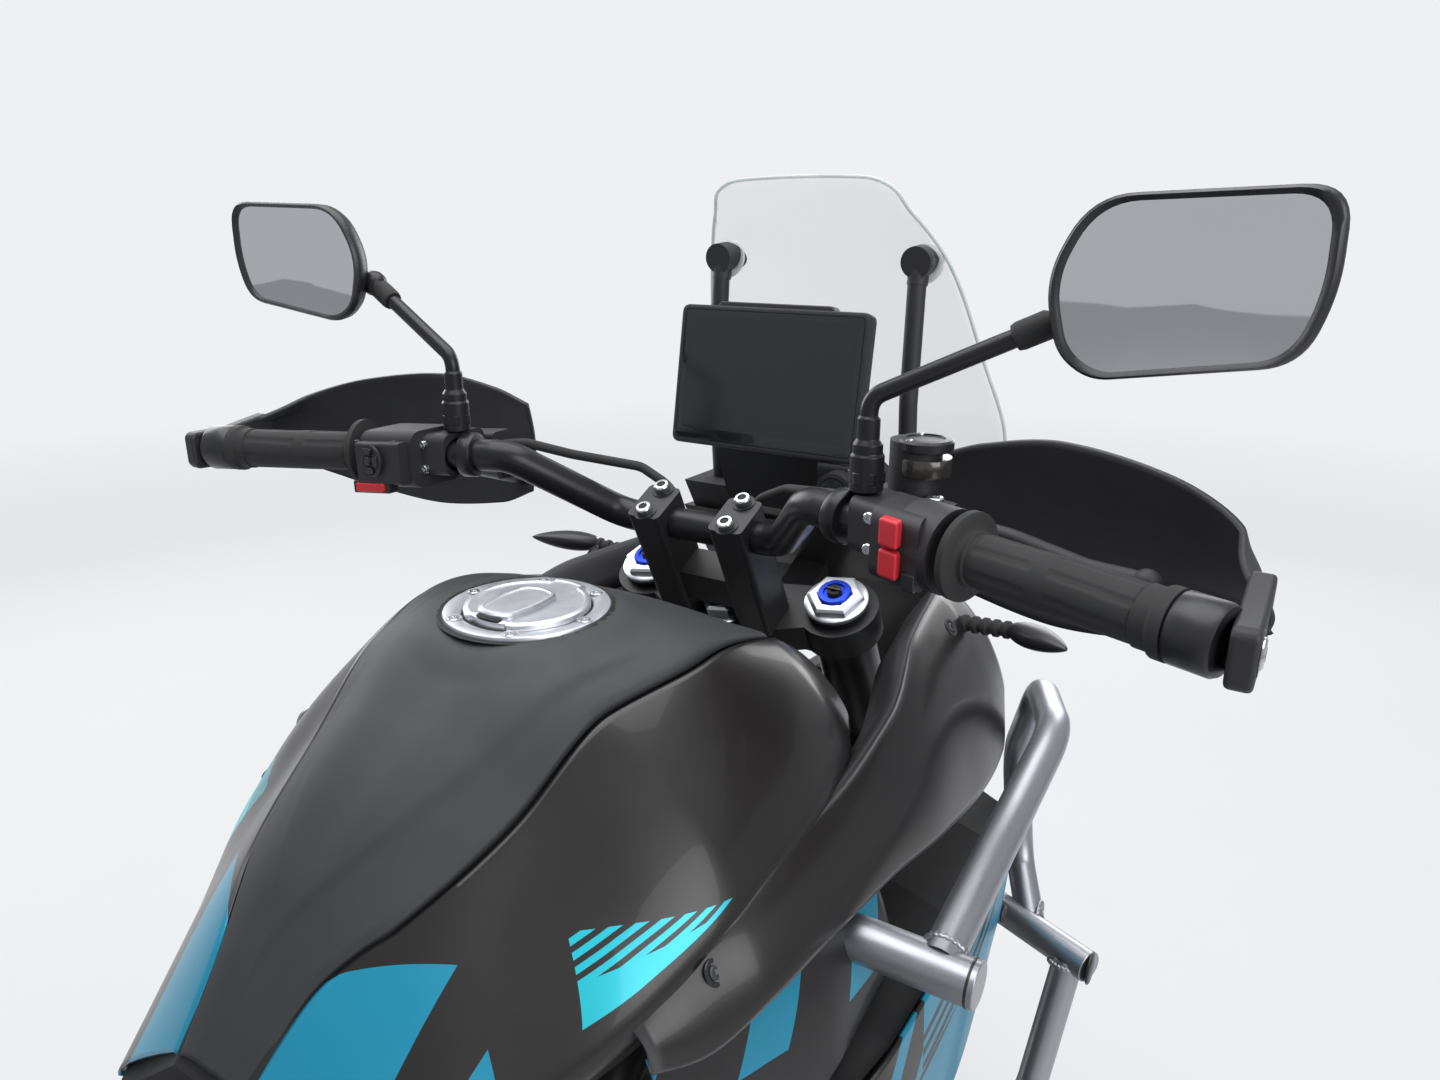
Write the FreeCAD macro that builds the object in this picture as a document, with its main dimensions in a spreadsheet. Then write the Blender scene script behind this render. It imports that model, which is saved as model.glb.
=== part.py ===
import FreeCAD, Part
import math
import os
from types import SimpleNamespace

import Sketcher

# Adventure motorcycle, upright on its centre stand with the steering straight.
# X points forward, Y to the rider's left, Z up from the ground; millimetres and degrees.

os.makedirs("parts", exist_ok=True)
doc = FreeCAD.newDocument("AdventureMotorcycle")

# Driving dimensions
drivingSizes = [
    ("overall_length", 2240.0),
    ("wheelbase", 1530.0),
    ("front_tyre_radius", 347.7),
    ("front_tyre_width", 90.0),
    ("front_rim_radius", 266.7),
    ("front_rim_width", 64.0),
    ("rear_tyre_radius", 333.6),
    ("rear_tyre_width", 150.0),
    ("rear_rim_radius", 228.6),
    ("rear_rim_width", 122.0),
    ("rear_wheel_lift", 22.0),
    ("spoke_count", 36.0),
    ("spoke_radius", 2.2),
    ("rake", 26.0),
    ("trail", 110.0),
    ("fork_offset", 32.0),
    ("fork_half_spacing", 105.0),
    ("fork_tube_radius", 29.0),
    ("fork_stanchion_radius", 24.0),
    ("fork_cap_level", 1147.0),
    ("fork_tube_end", 640.0),
    ("top_clamp_level", 1098.0),
    ("top_clamp_thickness", 30.0),
    ("lower_clamp_level", 925.0),
    ("lower_clamp_thickness", 32.0),
    ("head_tube_radius", 32.0),
    ("stem_radius", 18.0),
    ("running_clearance", 0.1),
    ("seat_gap", 0.3),
    ("front_axle_radius", 11.0),
    ("rear_axle_radius", 12.5),
    ("front_disc_radius", 160.0),
    ("front_disc_offset", 70.0),
    ("disc_thickness", 4.5),
    ("disc_band", 32.0),
    ("rear_disc_radius", 130.0),
    ("rear_disc_offset", 95.0),
    ("bar_radius", 14.3),
    ("bar_end_radius", 11.1),
    ("bar_half_width", 436.0),
    ("bar_height", 1108.0),
    ("bar_end_height", 1163.0),
    ("grip_radius", 17.0),
    ("grip_length", 138.0),
    ("steering_lock", 38.0),
    ("frame_tube_radius", 17.5),
    ("subframe_tube_radius", 13.0),
    ("crash_bar_radius", 14.0),
    ("crash_stub_radius", 16.0),
    ("crash_bar_half_width", 330.0),
    ("tank_top", 1106.0),
    ("tank_half_width", 212.0),
    ("tank_skin", 6.0),
    ("fuel_cap_x", 118.0),
    ("fuel_cap_radius", 60.0),
    ("filler_radius", 22.0),
    ("screen_thickness", 4.0),
    ("swingarm_inner", 118.0),
    ("swingarm_wall", 30.0),
    ("pivot_x", -168.0),
    ("pivot_z", 430.0),
    ("pivot_bolt_radius", 12.0),
    ("chain_line", 102.0),
    ("chain_pitch", 15.875),
    ("front_sprocket_teeth", 16.0),
    ("rear_sprocket_teeth", 46.0),
    ("sprocket_thickness", 6.0),
    ("output_shaft_x", -95.0),
    ("stand_pivot_x", -215.0),
    ("stand_pivot_z", 300.0),
    ("stand_tube_radius", 13.0),
    ("stand_foot_spread", 158.0),
    ("silencer_radius", 52.0),
    ("header_radius", 20.0),
    ("seat_height", 872.0),
]
sheet = doc.addObject("Spreadsheet::Sheet", "Sizes")
for row, (name, value) in enumerate(drivingSizes, start=1):
    sheet.set("A%d" % row, name)
    sheet.set("B%d" % row, "%g" % value)
    sheet.setAlias("B%d" % row, name)
doc.recompute()
size = SimpleNamespace(**{name: float(sheet.get(name)) for name, value in drivingSizes})

nodes = []


# Geometry helpers

def vec(x, y, z):
    return FreeCAD.Vector(x, y, z)


def roundedEdges(points, radii, closed):
    """Straight runs joined by tangent arcs; a radius of zero leaves the corner sharp."""
    count = len(points)
    corners = []
    for index, point in enumerate(points):
        inside = closed or 0 < index < count - 1
        radius = radii[index] if inside else 0.0
        if radius <= 0.0:
            corners.append((point, None, point))
            continue
        before = (points[index - 1] - point).normalize()
        after = (points[(index + 1) % count] - point).normalize()
        half = before.getAngle(after) / 2.0
        reach = radius / math.tan(half)
        middle = (before + after).normalize()
        centre = point + middle * (radius / math.sin(half))
        corners.append((point + before * reach, centre - middle * radius, point + after * reach))
    edges = []
    last = count if closed else count - 1
    for index in range(count):
        start, crown, end = corners[index]
        if crown is not None:
            edges.append(Part.Arc(start, crown, end).toShape())
        if index < last:
            following = corners[(index + 1) % count][0]
            if end.distanceToPoint(following) > 1e-6:
                edges.append(Part.LineSegment(end, following).toShape())
    return edges


def closedWire(points, radius=0.0, radii=None):
    return Part.Wire(roundedEdges(points, radii or [radius] * len(points), True))


def tube(points, radius, bend):
    """A round tube: a cylinder for each straight run and a piece of torus for each bend."""
    pieces = []
    for edge in roundedEdges(points, [bend] * len(points), False):
        start = edge.valueAt(edge.FirstParameter)
        if isinstance(edge.Curve, Part.Line):
            end = edge.valueAt(edge.LastParameter)
            pieces.append(Part.makeCylinder(radius, edge.Length, start, end - start))
            continue
        ring = Part.Face(Part.Wire([Part.Circle(start, edge.tangentAt(edge.FirstParameter), radius).toShape()]))
        sweep = math.degrees(edge.LastParameter - edge.FirstParameter)
        pieces.append(ring.revolve(edge.Curve.Center, edge.Curve.Axis, sweep))
    return pieces[0].multiFuse(pieces[1:]) if len(pieces) > 1 else pieces[0]


def rod(start, end, radius):
    axis = end - start
    return Part.makeCylinder(radius, axis.Length, start, axis)


def cone(start, end, firstRadius, lastRadius):
    axis = end - start
    return Part.makeCone(firstRadius, lastRadius, axis.Length, start, axis)


def block(low, high):
    return Part.makeBox(high.x - low.x, high.y - low.y, high.z - low.z, low)


def slab(outline, low, high, radius=0.0, radii=None):
    """A plate whose outline is drawn in side view, (x, z), between two values of y."""
    wire = closedWire([vec(x, low, z) for x, z in outline], radius, radii)
    return Part.Face(wire).extrude(vec(0, high - low, 0))


def loft(wires, ruled=True):
    return Part.makeLoft(wires, True, ruled)


def merged(shapes):
    return shapes[0].multiFuse(shapes[1:]).removeSplitter()


def mirrored(shape):
    return shape.mirror(vec(0, 0, 0), vec(0, 1, 0))


def pair(shape):
    return Part.makeCompound([shape, mirrored(shape)])


def turned(shape, centre, axis, angle):
    copy = shape.copy()
    copy.rotate(centre, axis, angle)
    return copy


def feature(label, shape, position=None):
    item = doc.addObject("Part::Feature", label)
    item.Shape = shape
    if position is not None:
        item.Placement = FreeCAD.Placement(position, FreeCAD.Rotation())
    item.Label = label
    nodes.append(item)
    return item


# Places that several pieces share

rake = math.radians(size.rake)
frontAxle = vec(size.overall_length / 2 - size.front_tyre_radius, 0, size.front_tyre_radius)
rearAxle = vec(frontAxle.x - size.wheelbase, 0, size.rear_tyre_radius + size.rear_wheel_lift)
steerFoot = vec(frontAxle.x + size.trail, 0, 0)
steerAxis = vec(-math.sin(rake), 0, math.cos(rake))
steerAhead = vec(math.cos(rake), 0, math.sin(rake))
lateral = vec(0, 1, 0)
pivot = vec(size.pivot_x, 0, size.pivot_z)


def steer(ahead, side, level):
    """A point given in the steering head's own directions."""
    return steerFoot + steerAhead * ahead + lateral * side + steerAxis * level


def steerPrism(outline, low, high, radius=0.0, radii=None):
    """A plate square to the steering axis; its outline is (ahead, side)."""
    wire = closedWire([steer(a, s, low) for a, s in outline], radius, radii)
    return Part.Face(wire).extrude(steerAxis * (high - low))


axleFromFoot = frontAxle - steerFoot
axleLevel = axleFromFoot.dot(steerAxis)


# Wheels

def revolvedBody(label, profile):
    """A PartDesign body turned about its own Y axis; the profile is (radius, y)."""
    body = doc.addObject("PartDesign::Body", label)
    plane = [o for o in body.Origin.OriginFeatures if o.Role == "XY_Plane"][0]
    turnAxis = [o for o in body.Origin.OriginFeatures if o.Role == "Y_Axis"][0]
    sketch = body.newObject("Sketcher::SketchObject", label + "_profile")
    sketch.AttachmentSupport = (plane, [""])
    sketch.MapMode = "FlatFace"
    count = len(profile)
    for index in range(count):
        start = vec(*profile[index], 0)
        end = vec(*profile[(index + 1) % count], 0)
        sketch.addGeometry(Part.LineSegment(start, end), False)
    turn = body.newObject("PartDesign::Revolution", label + "_turn")
    turn.Profile = sketch
    turn.ReferenceAxis = (turnAxis, [""])
    turn.Angle = 360.0
    body.Label = label
    nodes.append(body)
    return body


def tyreProfile(tyreRadius, tyreWidth, rimRadius, rimWidth, shoulder):
    """Bead, sidewall, shoulder and crown, and the same back to the other bead, as (radius, y)."""
    beadWidth = rimWidth / 2 - 5.6
    wallRadius = rimRadius + 0.45 * (tyreRadius - rimRadius)
    return [
        (rimRadius + 0.6, -beadWidth),
        (rimRadius + 13.0, -beadWidth),
        (wallRadius, -tyreWidth / 2),
        (tyreRadius - shoulder, -0.45 * tyreWidth),
        (tyreRadius - 0.3 * shoulder, -0.28 * tyreWidth),
        (tyreRadius, -0.08 * tyreWidth),
        (tyreRadius, 0.08 * tyreWidth),
        (tyreRadius - 0.3 * shoulder, 0.28 * tyreWidth),
        (tyreRadius - shoulder, 0.45 * tyreWidth),
        (wallRadius, tyreWidth / 2),
        (rimRadius + 13.0, beadWidth),
        (rimRadius + 0.6, beadWidth),
    ]


def rimRing(rimRadius, rimWidth):
    half = rimWidth / 2
    flat = 0.35 * half
    profile = [
        (rimRadius + 12, -half), (rimRadius + 12, 4 - half), (rimRadius, 5 - half),
        (rimRadius - 12, -flat), (rimRadius - 12, flat), (rimRadius, half - 5),
        (rimRadius + 12, half - 4), (rimRadius + 12, half), (rimRadius - 3, half),
        (rimRadius - 19, flat), (rimRadius - 19, -flat), (rimRadius - 3, -half),
    ]
    face = Part.Face(closedWire([vec(r, y, 0) for r, y in profile]))
    return face.revolve(vec(0, 0, 0), lateral, 360)


def hubBarrel(profile):
    face = Part.Face(closedWire([vec(r, y, 0) for r, y in profile]))
    return face.revolve(vec(0, 0, 0), lateral, 360)


def bladedSpoke(start, end, reach):
    """A square spoke, its flats turned towards the wheel's sides."""
    along = (end - start).normalize()
    across = along.cross(lateral).normalize()
    beside = along.cross(across).normalize()
    corners = [start + across * (a * reach) + beside * (b * reach) for a, b in ((1, 1), (-1, 1), (-1, -1), (1, -1))]
    return Part.Face(closedWire(corners)).extrude(end - start)


def spokes(rimRadius, flangeRadius, flangeOffset, rimOffset):
    """Crossed spokes: every other one goes to the other flange, in leading and trailing pairs."""
    rods = []
    count = int(size.spoke_count)
    for index in range(count):
        side = 1 if index % 2 == 0 else -1
        lean = 1 if (index // 2) % 2 == 0 else -1
        rimAngle = math.radians(360.0 * index / count)
        hubAngle = rimAngle + lean * math.radians(48.0)
        hubEnd = vec(math.cos(hubAngle) * flangeRadius, side * flangeOffset,
                     math.sin(hubAngle) * flangeRadius)
        rimEnd = vec(math.cos(rimAngle) * (rimRadius - 15), side * rimOffset,
                     math.sin(rimAngle) * (rimRadius - 15))
        rods.append(bladedSpoke(hubEnd, rimEnd, size.spoke_radius))
    return rods


frontBore = size.front_axle_radius + size.running_clearance
frontHubEnd = size.front_disc_offset - size.disc_thickness / 2
frontHub = hubBarrel([
    (frontBore, -frontHubEnd), (frontBore, frontHubEnd), (44, frontHubEnd), (44, frontHubEnd - 8),
    (26, frontHubEnd - 12), (26, 34), (42, 32), (42, 26), (24, 22),
    (24, -22), (42, -26), (42, -32), (26, -34), (26, 12 - frontHubEnd),
    (44, 8 - frontHubEnd), (44, -frontHubEnd),
])
feature("front_wheel", merged([
    rimRing(size.front_rim_radius, size.front_rim_width), frontHub,
    *spokes(size.front_rim_radius, 36, 29, 5)]), frontAxle)
frontTyre = revolvedBody("front_tyre", tyreProfile(
    size.front_tyre_radius, size.front_tyre_width, size.front_rim_radius, size.front_rim_width, 20))
frontTyre.Placement.Base = frontAxle

rearBore = size.rear_axle_radius + size.running_clearance
sprocketInner = size.chain_line - size.sprocket_thickness / 2
rearDiscInner = size.rear_disc_offset - size.disc_thickness / 2
rearHub = hubBarrel([
    (rearBore, -rearDiscInner), (rearBore, sprocketInner), (74, sprocketInner),
    (74, sprocketInner - 12), (52, sprocketInner - 16), (52, 46), (66, 42), (66, 34), (42, 28),
    (42, -28), (54, -34), (54, -42), (34, -46), (34, 14 - rearDiscInner),
    (48, 10 - rearDiscInner), (48, -rearDiscInner),
])
feature("rear_wheel", merged([
    rimRing(size.rear_rim_radius, size.rear_rim_width), rearHub,
    *spokes(size.rear_rim_radius, 47, 38, 14)]), rearAxle)
rearTyre = revolvedBody("rear_tyre", tyreProfile(
    size.rear_tyre_radius, size.rear_tyre_width, size.rear_rim_radius, size.rear_rim_width, 34))
rearTyre.Placement.Base = rearAxle


# Brake discs: a drilled band on a spider, one PartDesign body each

def originItem(body, role):
    return [item for item in body.Origin.OriginFeatures if item.Role == role][0]


def flatSketch(body, name, role="XZ_Plane"):
    sketch = body.newObject("Sketcher::SketchObject", name)
    sketch.AttachmentSupport = (originItem(body, role), [""])
    sketch.MapMode = "FlatFace"
    return sketch


def boundCircle(sketch, radiusExpression, value, across=None):
    """A circle whose radius follows the sheet, at the middle or at a bound distance across."""
    centre = vec(across[1] if across else 0, 0, 0)
    index = sketch.addGeometry(Part.Circle(centre, vec(0, 0, 1), value), False)
    radius = sketch.addConstraint(Sketcher.Constraint("Radius", index, value))
    sketch.setExpression("Constraints[%d]" % radius, radiusExpression)
    if across is None:
        sketch.addConstraint(Sketcher.Constraint("Coincident", index, 3, -1, 1))
        return
    sketch.addConstraint(Sketcher.Constraint("PointOnObject", index, 3, -1))
    shift = sketch.addConstraint(Sketcher.Constraint("DistanceX", -1, 1, index, 3, across[1]))
    sketch.setExpression("Constraints[%d]" % shift, across[0])


def brakeDisc(label, radiusName, innerHole, placement, windows=6):
    outer = getattr(size, radiusName)
    body = doc.addObject("PartDesign::Body", label)
    ring = flatSketch(body, label + "_ring")
    boundCircle(ring, "Sizes.%s" % radiusName, outer)
    boundCircle(ring, "%g mm" % innerHole, innerHole)
    pad = body.newObject("PartDesign::Pad", label + "_pad")
    pad.Profile = ring
    pad.SideType = "Symmetric"
    pad.setExpression("Length", "Sizes.disc_thickness")
    doc.recompute()
    window = flatSketch(body, label + "_window")
    inner = outer - size.disc_band
    low = innerHole + 16
    half = math.pi / windows * 0.72
    corners = [(low, -half), (inner, -half), (inner, 0), (inner, half), (low, half), (low, 0)]
    places = [vec(r * math.cos(t), r * math.sin(t), 0) for r, t in corners]
    window.addGeometry(Part.LineSegment(places[0], places[1]), False)
    window.addGeometry(Part.Arc(places[1], places[2], places[3]), False)
    window.addGeometry(Part.LineSegment(places[3], places[4]), False)
    window.addGeometry(Part.Arc(places[4], places[5], places[0]), False)
    cut = body.newObject("PartDesign::Pocket", label + "_window_cut")
    cut.Profile = window
    cut.Type = "ThroughAll"
    cut.Midplane = True
    doc.recompute()
    around = body.newObject("PartDesign::PolarPattern", label + "_windows")
    around.Originals = [cut]
    around.Axis = (originItem(body, "Y_Axis"), [""])
    around.Angle = 360
    around.Occurrences = windows
    body.Tip = around
    doc.recompute()
    drill = flatSketch(body, label + "_drill")
    boundCircle(drill, "4 mm", 4.0, ("Sizes.%s - Sizes.disc_band / 2" % radiusName,
                                    outer - size.disc_band / 2))
    hole = body.newObject("PartDesign::Pocket", label + "_drill_cut")
    hole.Profile = drill
    hole.Type = "ThroughAll"
    hole.Midplane = True
    doc.recompute()
    holes = body.newObject("PartDesign::PolarPattern", label + "_holes")
    holes.Originals = [hole]
    holes.Axis = (originItem(body, "Y_Axis"), [""])
    holes.Angle = 360
    holes.Occurrences = 12
    body.Tip = holes
    body.Label = label
    body.Placement.Base = placement
    return body


frontDiscs = [brakeDisc("front_disc_left", "front_disc_radius", 30, frontAxle + lateral * size.front_disc_offset),
              brakeDisc("front_disc_right", "front_disc_radius", 30, frontAxle - lateral * size.front_disc_offset)]
discPair = doc.addObject("Part::Compound", "front_discs")
discPair.Links = frontDiscs
discPair.Label = "front_discs"
nodes.append(discPair)
nodes.append(brakeDisc("rear_disc", "rear_disc_radius", 30, rearAxle - lateral * size.rear_disc_offset))


# Chain and sprockets

def pitchRadius(teeth):
    return size.chain_pitch / 2 / math.sin(math.pi / teeth)


frontPitchRadius = pitchRadius(size.front_sprocket_teeth)
rearPitchRadius = pitchRadius(size.rear_sprocket_teeth)
toothTip = 2.0
pinReach = 5.2
pinRadius = 1.8
outputShaft = vec(size.output_shaft_x, 0, size.pivot_z)


def sprocketFace(teeth, tip, root, middle, y):
    """A toothed disc outline with straight flanks, in the plane of the wheel."""
    points = []
    for index in range(int(teeth)):
        base = 2 * math.pi * index / teeth
        step = math.pi / teeth
        for share, radius in ((-0.72, root), (-0.28, tip), (0.28, tip), (0.72, root)):
            angle = base + share * step
            points.append(middle + vec(math.cos(angle) * radius, y, math.sin(angle) * radius))
    return Part.Face(closedWire(points))


sprocket = sprocketFace(size.rear_sprocket_teeth, rearPitchRadius + toothTip,
                        rearPitchRadius - 4, rearAxle, sprocketInner)
sprocket = sprocket.extrude(lateral * size.sprocket_thickness)
sprocketHole = rod(rearAxle + lateral * (sprocketInner - 1), rearAxle + lateral * 110, 40)
sprocketWindows = []
for index in range(5):
    angle = math.radians(72 * index)
    centre = rearAxle + vec(math.cos(angle) * 90, sprocketInner - 1, math.sin(angle) * 90)
    sprocketWindows.append(rod(centre, centre + lateral * 10, 15))
feature("rear_sprocket", sprocket.cut([sprocketHole, *sprocketWindows]))

frontTip = frontPitchRadius + pinReach - pinRadius - size.seat_gap
frontSprocket = sprocketFace(size.front_sprocket_teeth, frontTip, frontPitchRadius - 5,
                             outputShaft, sprocketInner).extrude(lateral * size.sprocket_thickness)


def chainLoop():
    """Points along the pitch line, with the outward normal at each, one pair to a link."""
    reach = (outputShaft - rearAxle).Length
    slope = math.atan2(outputShaft.z - rearAxle.z, outputShaft.x - rearAxle.x)
    flare = math.asin((rearPitchRadius - frontPitchRadius) / reach)
    straight = math.sqrt(reach ** 2 - (rearPitchRadius - frontPitchRadius) ** 2)
    topAngle = slope + math.pi / 2 - flare
    lowAngle = slope - math.pi / 2 + flare
    frontWrap = math.pi - 2 * flare
    rearWrap = math.pi + 2 * flare
    stretches = [straight, frontWrap * frontPitchRadius, straight, rearWrap * rearPitchRadius]
    total = sum(stretches)
    count = 2 * round(total / size.chain_pitch / 2)
    places = []

    def onCircle(centre, radius, angle):
        normal = vec(math.cos(angle), 0, math.sin(angle))
        return centre + normal * radius, normal

    for index in range(2 * count):
        run = total * index / (2 * count)
        if run < stretches[0]:
            start, normal = onCircle(rearAxle, rearPitchRadius, topAngle)
            end, normal = onCircle(outputShaft, frontPitchRadius, topAngle)
            point = start + (end - start) * (run / straight)
            zone = "straight"
        elif run < sum(stretches[:2]):
            turn = (run - stretches[0]) / frontPitchRadius
            point, normal = onCircle(outputShaft, frontPitchRadius, topAngle - turn)
            zone = "wrap"
        elif run < sum(stretches[:3]):
            start, normal = onCircle(outputShaft, frontPitchRadius, lowAngle)
            end, normal = onCircle(rearAxle, rearPitchRadius, lowAngle)
            point = start + (end - start) * ((run - sum(stretches[:2])) / straight)
            zone = "straight"
        else:
            turn = (run - sum(stretches[:3])) / rearPitchRadius
            point, normal = onCircle(rearAxle, rearPitchRadius, lowAngle - turn)
            zone = "wrap"
        places.append((point, normal, zone))
    return places


def chain():
    """Two scalloped side bands, a roller strip along the straight runs and pins on the wraps."""
    places = chainLoop()
    wide, narrow, plate = 7.4, 4.6, 2.6
    stripTrim = 7
    gapHalf = 5.0
    outer = []
    inner = []
    for index, (point, normal, zone) in enumerate(places[::2]):
        height = wide if index % 2 == 0 else narrow
        outer.append(point + normal * height)
        inner.append(point - normal * height)
    solids = []
    for low in (size.chain_line - gapHalf - plate, size.chain_line + gapHalf):
        lift = lateral * low
        ring = Part.Face(closedWire([p + lift for p in outer])).cut(Part.Face(closedWire([p + lift for p in inner])))
        solids.append(ring.extrude(lateral * plate))
    runs = []
    current = []
    for point, normal, zone in places:
        if zone == "straight":
            current.append((point, normal))
        elif current:
            runs.append(current)
            current = []
    for run in runs:
        (start, normal), (end, lastNormal) = run[stripTrim], run[-stripTrim]
        lift = lateral * (size.chain_line - gapHalf)
        corners = [start + normal * 4, end + normal * 4, end - normal * 4, start - normal * 4]
        strip = Part.Face(closedWire([c + lift for c in corners])).extrude(lateral * (2 * gapHalf))
        solids.append(strip)
    zones = [zone for point, normal, zone in places]
    for index in range(0, len(places), 2):
        point, normal, zone = places[index]
        nearWrap = "wrap" in [zones[(index + step) % len(places)] for step in range(1 - stripTrim, stripTrim)]
        if nearWrap:
            centre = point + normal * pinReach + lateral * (size.chain_line - gapHalf - 1)
            corners = [centre + corner for corner in (
                vec(pinRadius, 0, 0), vec(0, 0, pinRadius), vec(-pinRadius, 0, 0), vec(0, 0, -pinRadius))]
            solids.append(Part.Face(closedWire(corners)).extrude(lateral * (2 * gapHalf + 2)))
    return merged(solids)


sprocketHub = rod(outputShaft + lateral * 84, outputShaft + lateral * sprocketInner, 14)
feature("drive_chain", Part.makeCompound([chain(), merged([frontSprocket, sprocketHub])]))


# Front fork, clamps and axle

forkLead = size.fork_offset
forkSide = size.fork_half_spacing


def forkPoint(side, level):
    return steer(forkLead, side * forkSide, level)


forkTubes = []
forkLowers = []
forkCaps = []
forkGuards = []
tubeTop = size.fork_cap_level - 12
for side in (1, -1):
    collar = rod(forkPoint(side, size.fork_tube_end - 14), forkPoint(side, size.fork_tube_end + 22),
                 size.fork_tube_radius + 2.5)
    bore = rod(forkPoint(side, size.fork_tube_end - 15), forkPoint(side, size.fork_tube_end + 40),
               size.fork_stanchion_radius + size.running_clearance)
    leg = rod(forkPoint(side, size.fork_tube_end), forkPoint(side, tubeTop), size.fork_tube_radius)
    forkTubes.append(merged([leg, collar]).cut(bore))
    stanchion = rod(forkPoint(side, axleLevel), forkPoint(side, size.fork_tube_end + 38),
                    size.fork_stanchion_radius)
    foot = rod(forkPoint(side, axleLevel - 42), forkPoint(side, axleLevel + 52), 29)
    ball = cone(forkPoint(side, axleLevel - 56), forkPoint(side, axleLevel - 42), 20, 29)
    boss = rod(frontAxle + lateral * (side * 88), frontAxle + lateral * (side * 122), 25)
    web = steerPrism([(forkLead - 8, side * 88), (53.6 + 18, side * 88), (53.6 + 18, side * 122),
                      (forkLead - 8, side * 122)], axleLevel - 20, axleLevel + 22)
    axleHole = rod(frontAxle + lateral * (side * 60), frontAxle + lateral * (side * 140),
                   size.front_axle_radius + size.running_clearance)
    ear = steerPrism([(forkLead - 92, side * 90.3), (forkLead - 10, side * 90.3),
                      (forkLead - 10, side * 102), (forkLead - 92, side * 102)],
                     axleLevel + 18, axleLevel + 46)
    forkLowers.append(merged([stanchion, foot, ball, boss, web, ear]).cut(axleHole))
    hexagon = []
    for corner in range(6):
        angle = math.radians(60 * corner)
        hexagon.append((forkLead + 27 * math.cos(angle), side * forkSide + 27 * math.sin(angle)))
    base = steerPrism(hexagon, tubeTop, size.fork_cap_level - 3)
    knob = rod(forkPoint(side, size.fork_cap_level - 3), forkPoint(side, size.fork_cap_level + 5), 13)
    forkCaps.append(merged([base, knob]))
    guardShell = rod(forkPoint(side, axleLevel + 54), forkPoint(side, axleLevel + 232), 33)
    guardHole = rod(forkPoint(side, axleLevel + 53), forkPoint(side, axleLevel + 233), 28)
    discRoom = block(vec(500, min(0, side * 79), 300), vec(900, max(0, side * 79), 700))
    guardBack = steerPrism([(forkLead - 50, side * 60), (forkLead - 4, side * 60),
                            (forkLead - 4, side * 150), (forkLead - 50, side * 150)],
                           axleLevel + 50, axleLevel + 236)
    guardFoot = steerPrism([(forkLead + 26, side * forkSide - 12), (forkLead + 33, side * forkSide - 12),
                            (forkLead + 33, side * forkSide + 12), (forkLead + 26, side * forkSide + 12)],
                           axleLevel + 40, axleLevel + 60)
    footRoom = rod(forkPoint(side, axleLevel + 30), forkPoint(side, axleLevel + 53), 29 + size.seat_gap)
    guard = guardShell.cut([guardHole, guardBack, discRoom])
    forkGuards.append(merged([guard, guardFoot.cut(footRoom)]))
feature("fork_tubes", Part.makeCompound(forkTubes))


def clampPlate(low, thickness, legRim, stemRim):
    """A fork clamp: a rounded bar across both legs, with a boss at the stem."""
    bar = steerPrism([(forkLead - legRim * 0.62, forkSide), (forkLead + legRim * 0.7, forkSide),
                      (forkLead + legRim * 0.35, 30), (forkLead + legRim * 0.35, -30),
                      (forkLead + legRim * 0.7, -forkSide), (forkLead - legRim * 0.62, -forkSide),
                      (-stemRim * 0.85, -22), (-stemRim * 0.85, 22)], low, low + thickness)
    pieces = [bar]
    for side in (1, -1):
        pieces.append(rod(forkPoint(side, low), forkPoint(side, low + thickness), legRim))
    pieces.append(rod(steer(0, 0, low), steer(0, 0, low + thickness), stemRim))
    plate = merged(pieces)
    holes = [rod(forkPoint(side, low - 1), forkPoint(side, low + thickness + 1),
                 size.fork_tube_radius + size.running_clearance) for side in (1, -1)]
    return plate.cut(holes)


topLevel = size.top_clamp_level
topFace = topLevel + size.top_clamp_thickness
lowLevel = size.lower_clamp_level
lowFace = lowLevel + size.lower_clamp_thickness
topClamp = clampPlate(topLevel, size.top_clamp_thickness, 38, 32)
topClamp = topClamp.cut(rod(steer(0, 0, topLevel - 1), steer(0, 0, topFace + 1),
                            size.stem_radius + size.running_clearance))
stem = rod(steer(0, 0, lowFace - 4), steer(0, 0, topFace), size.stem_radius)
lowerClamp = merged([clampPlate(lowLevel, size.lower_clamp_thickness, 40, 34), stem])
nutHex = [(19 * math.cos(math.radians(60 * k)), 19 * math.sin(math.radians(60 * k))) for k in range(6)]
stemNut = merged([rod(steer(0, 0, topFace), steer(0, 0, topFace + 4), 22),
                  steerPrism(nutHex, topFace + 4, topFace + 18)])
stemNut = stemNut.cut(rod(steer(0, 0, topFace + 10), steer(0, 0, topFace + 20), 9))
feature("lower_clamp", lowerClamp)
feature("fork_caps", Part.makeCompound([*forkCaps, stemNut]))

axleShaft = rod(frontAxle + lateral * -128, frontAxle + lateral * 128, size.front_axle_radius)
axlePieces = [axleShaft]
for side in (1, -1):
    axlePieces.append(rod(frontAxle + lateral * (side * (frontHubEnd + size.seat_gap)),
                          frontAxle + lateral * (side * 87.7), 18))
    axlePieces.append(rod(frontAxle + lateral * (side * 122.3), frontAxle + lateral * (side * 130), 17))
feature("fork_lowers", Part.makeCompound([*forkLowers, merged(axlePieces)]))


# Brake calipers

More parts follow.
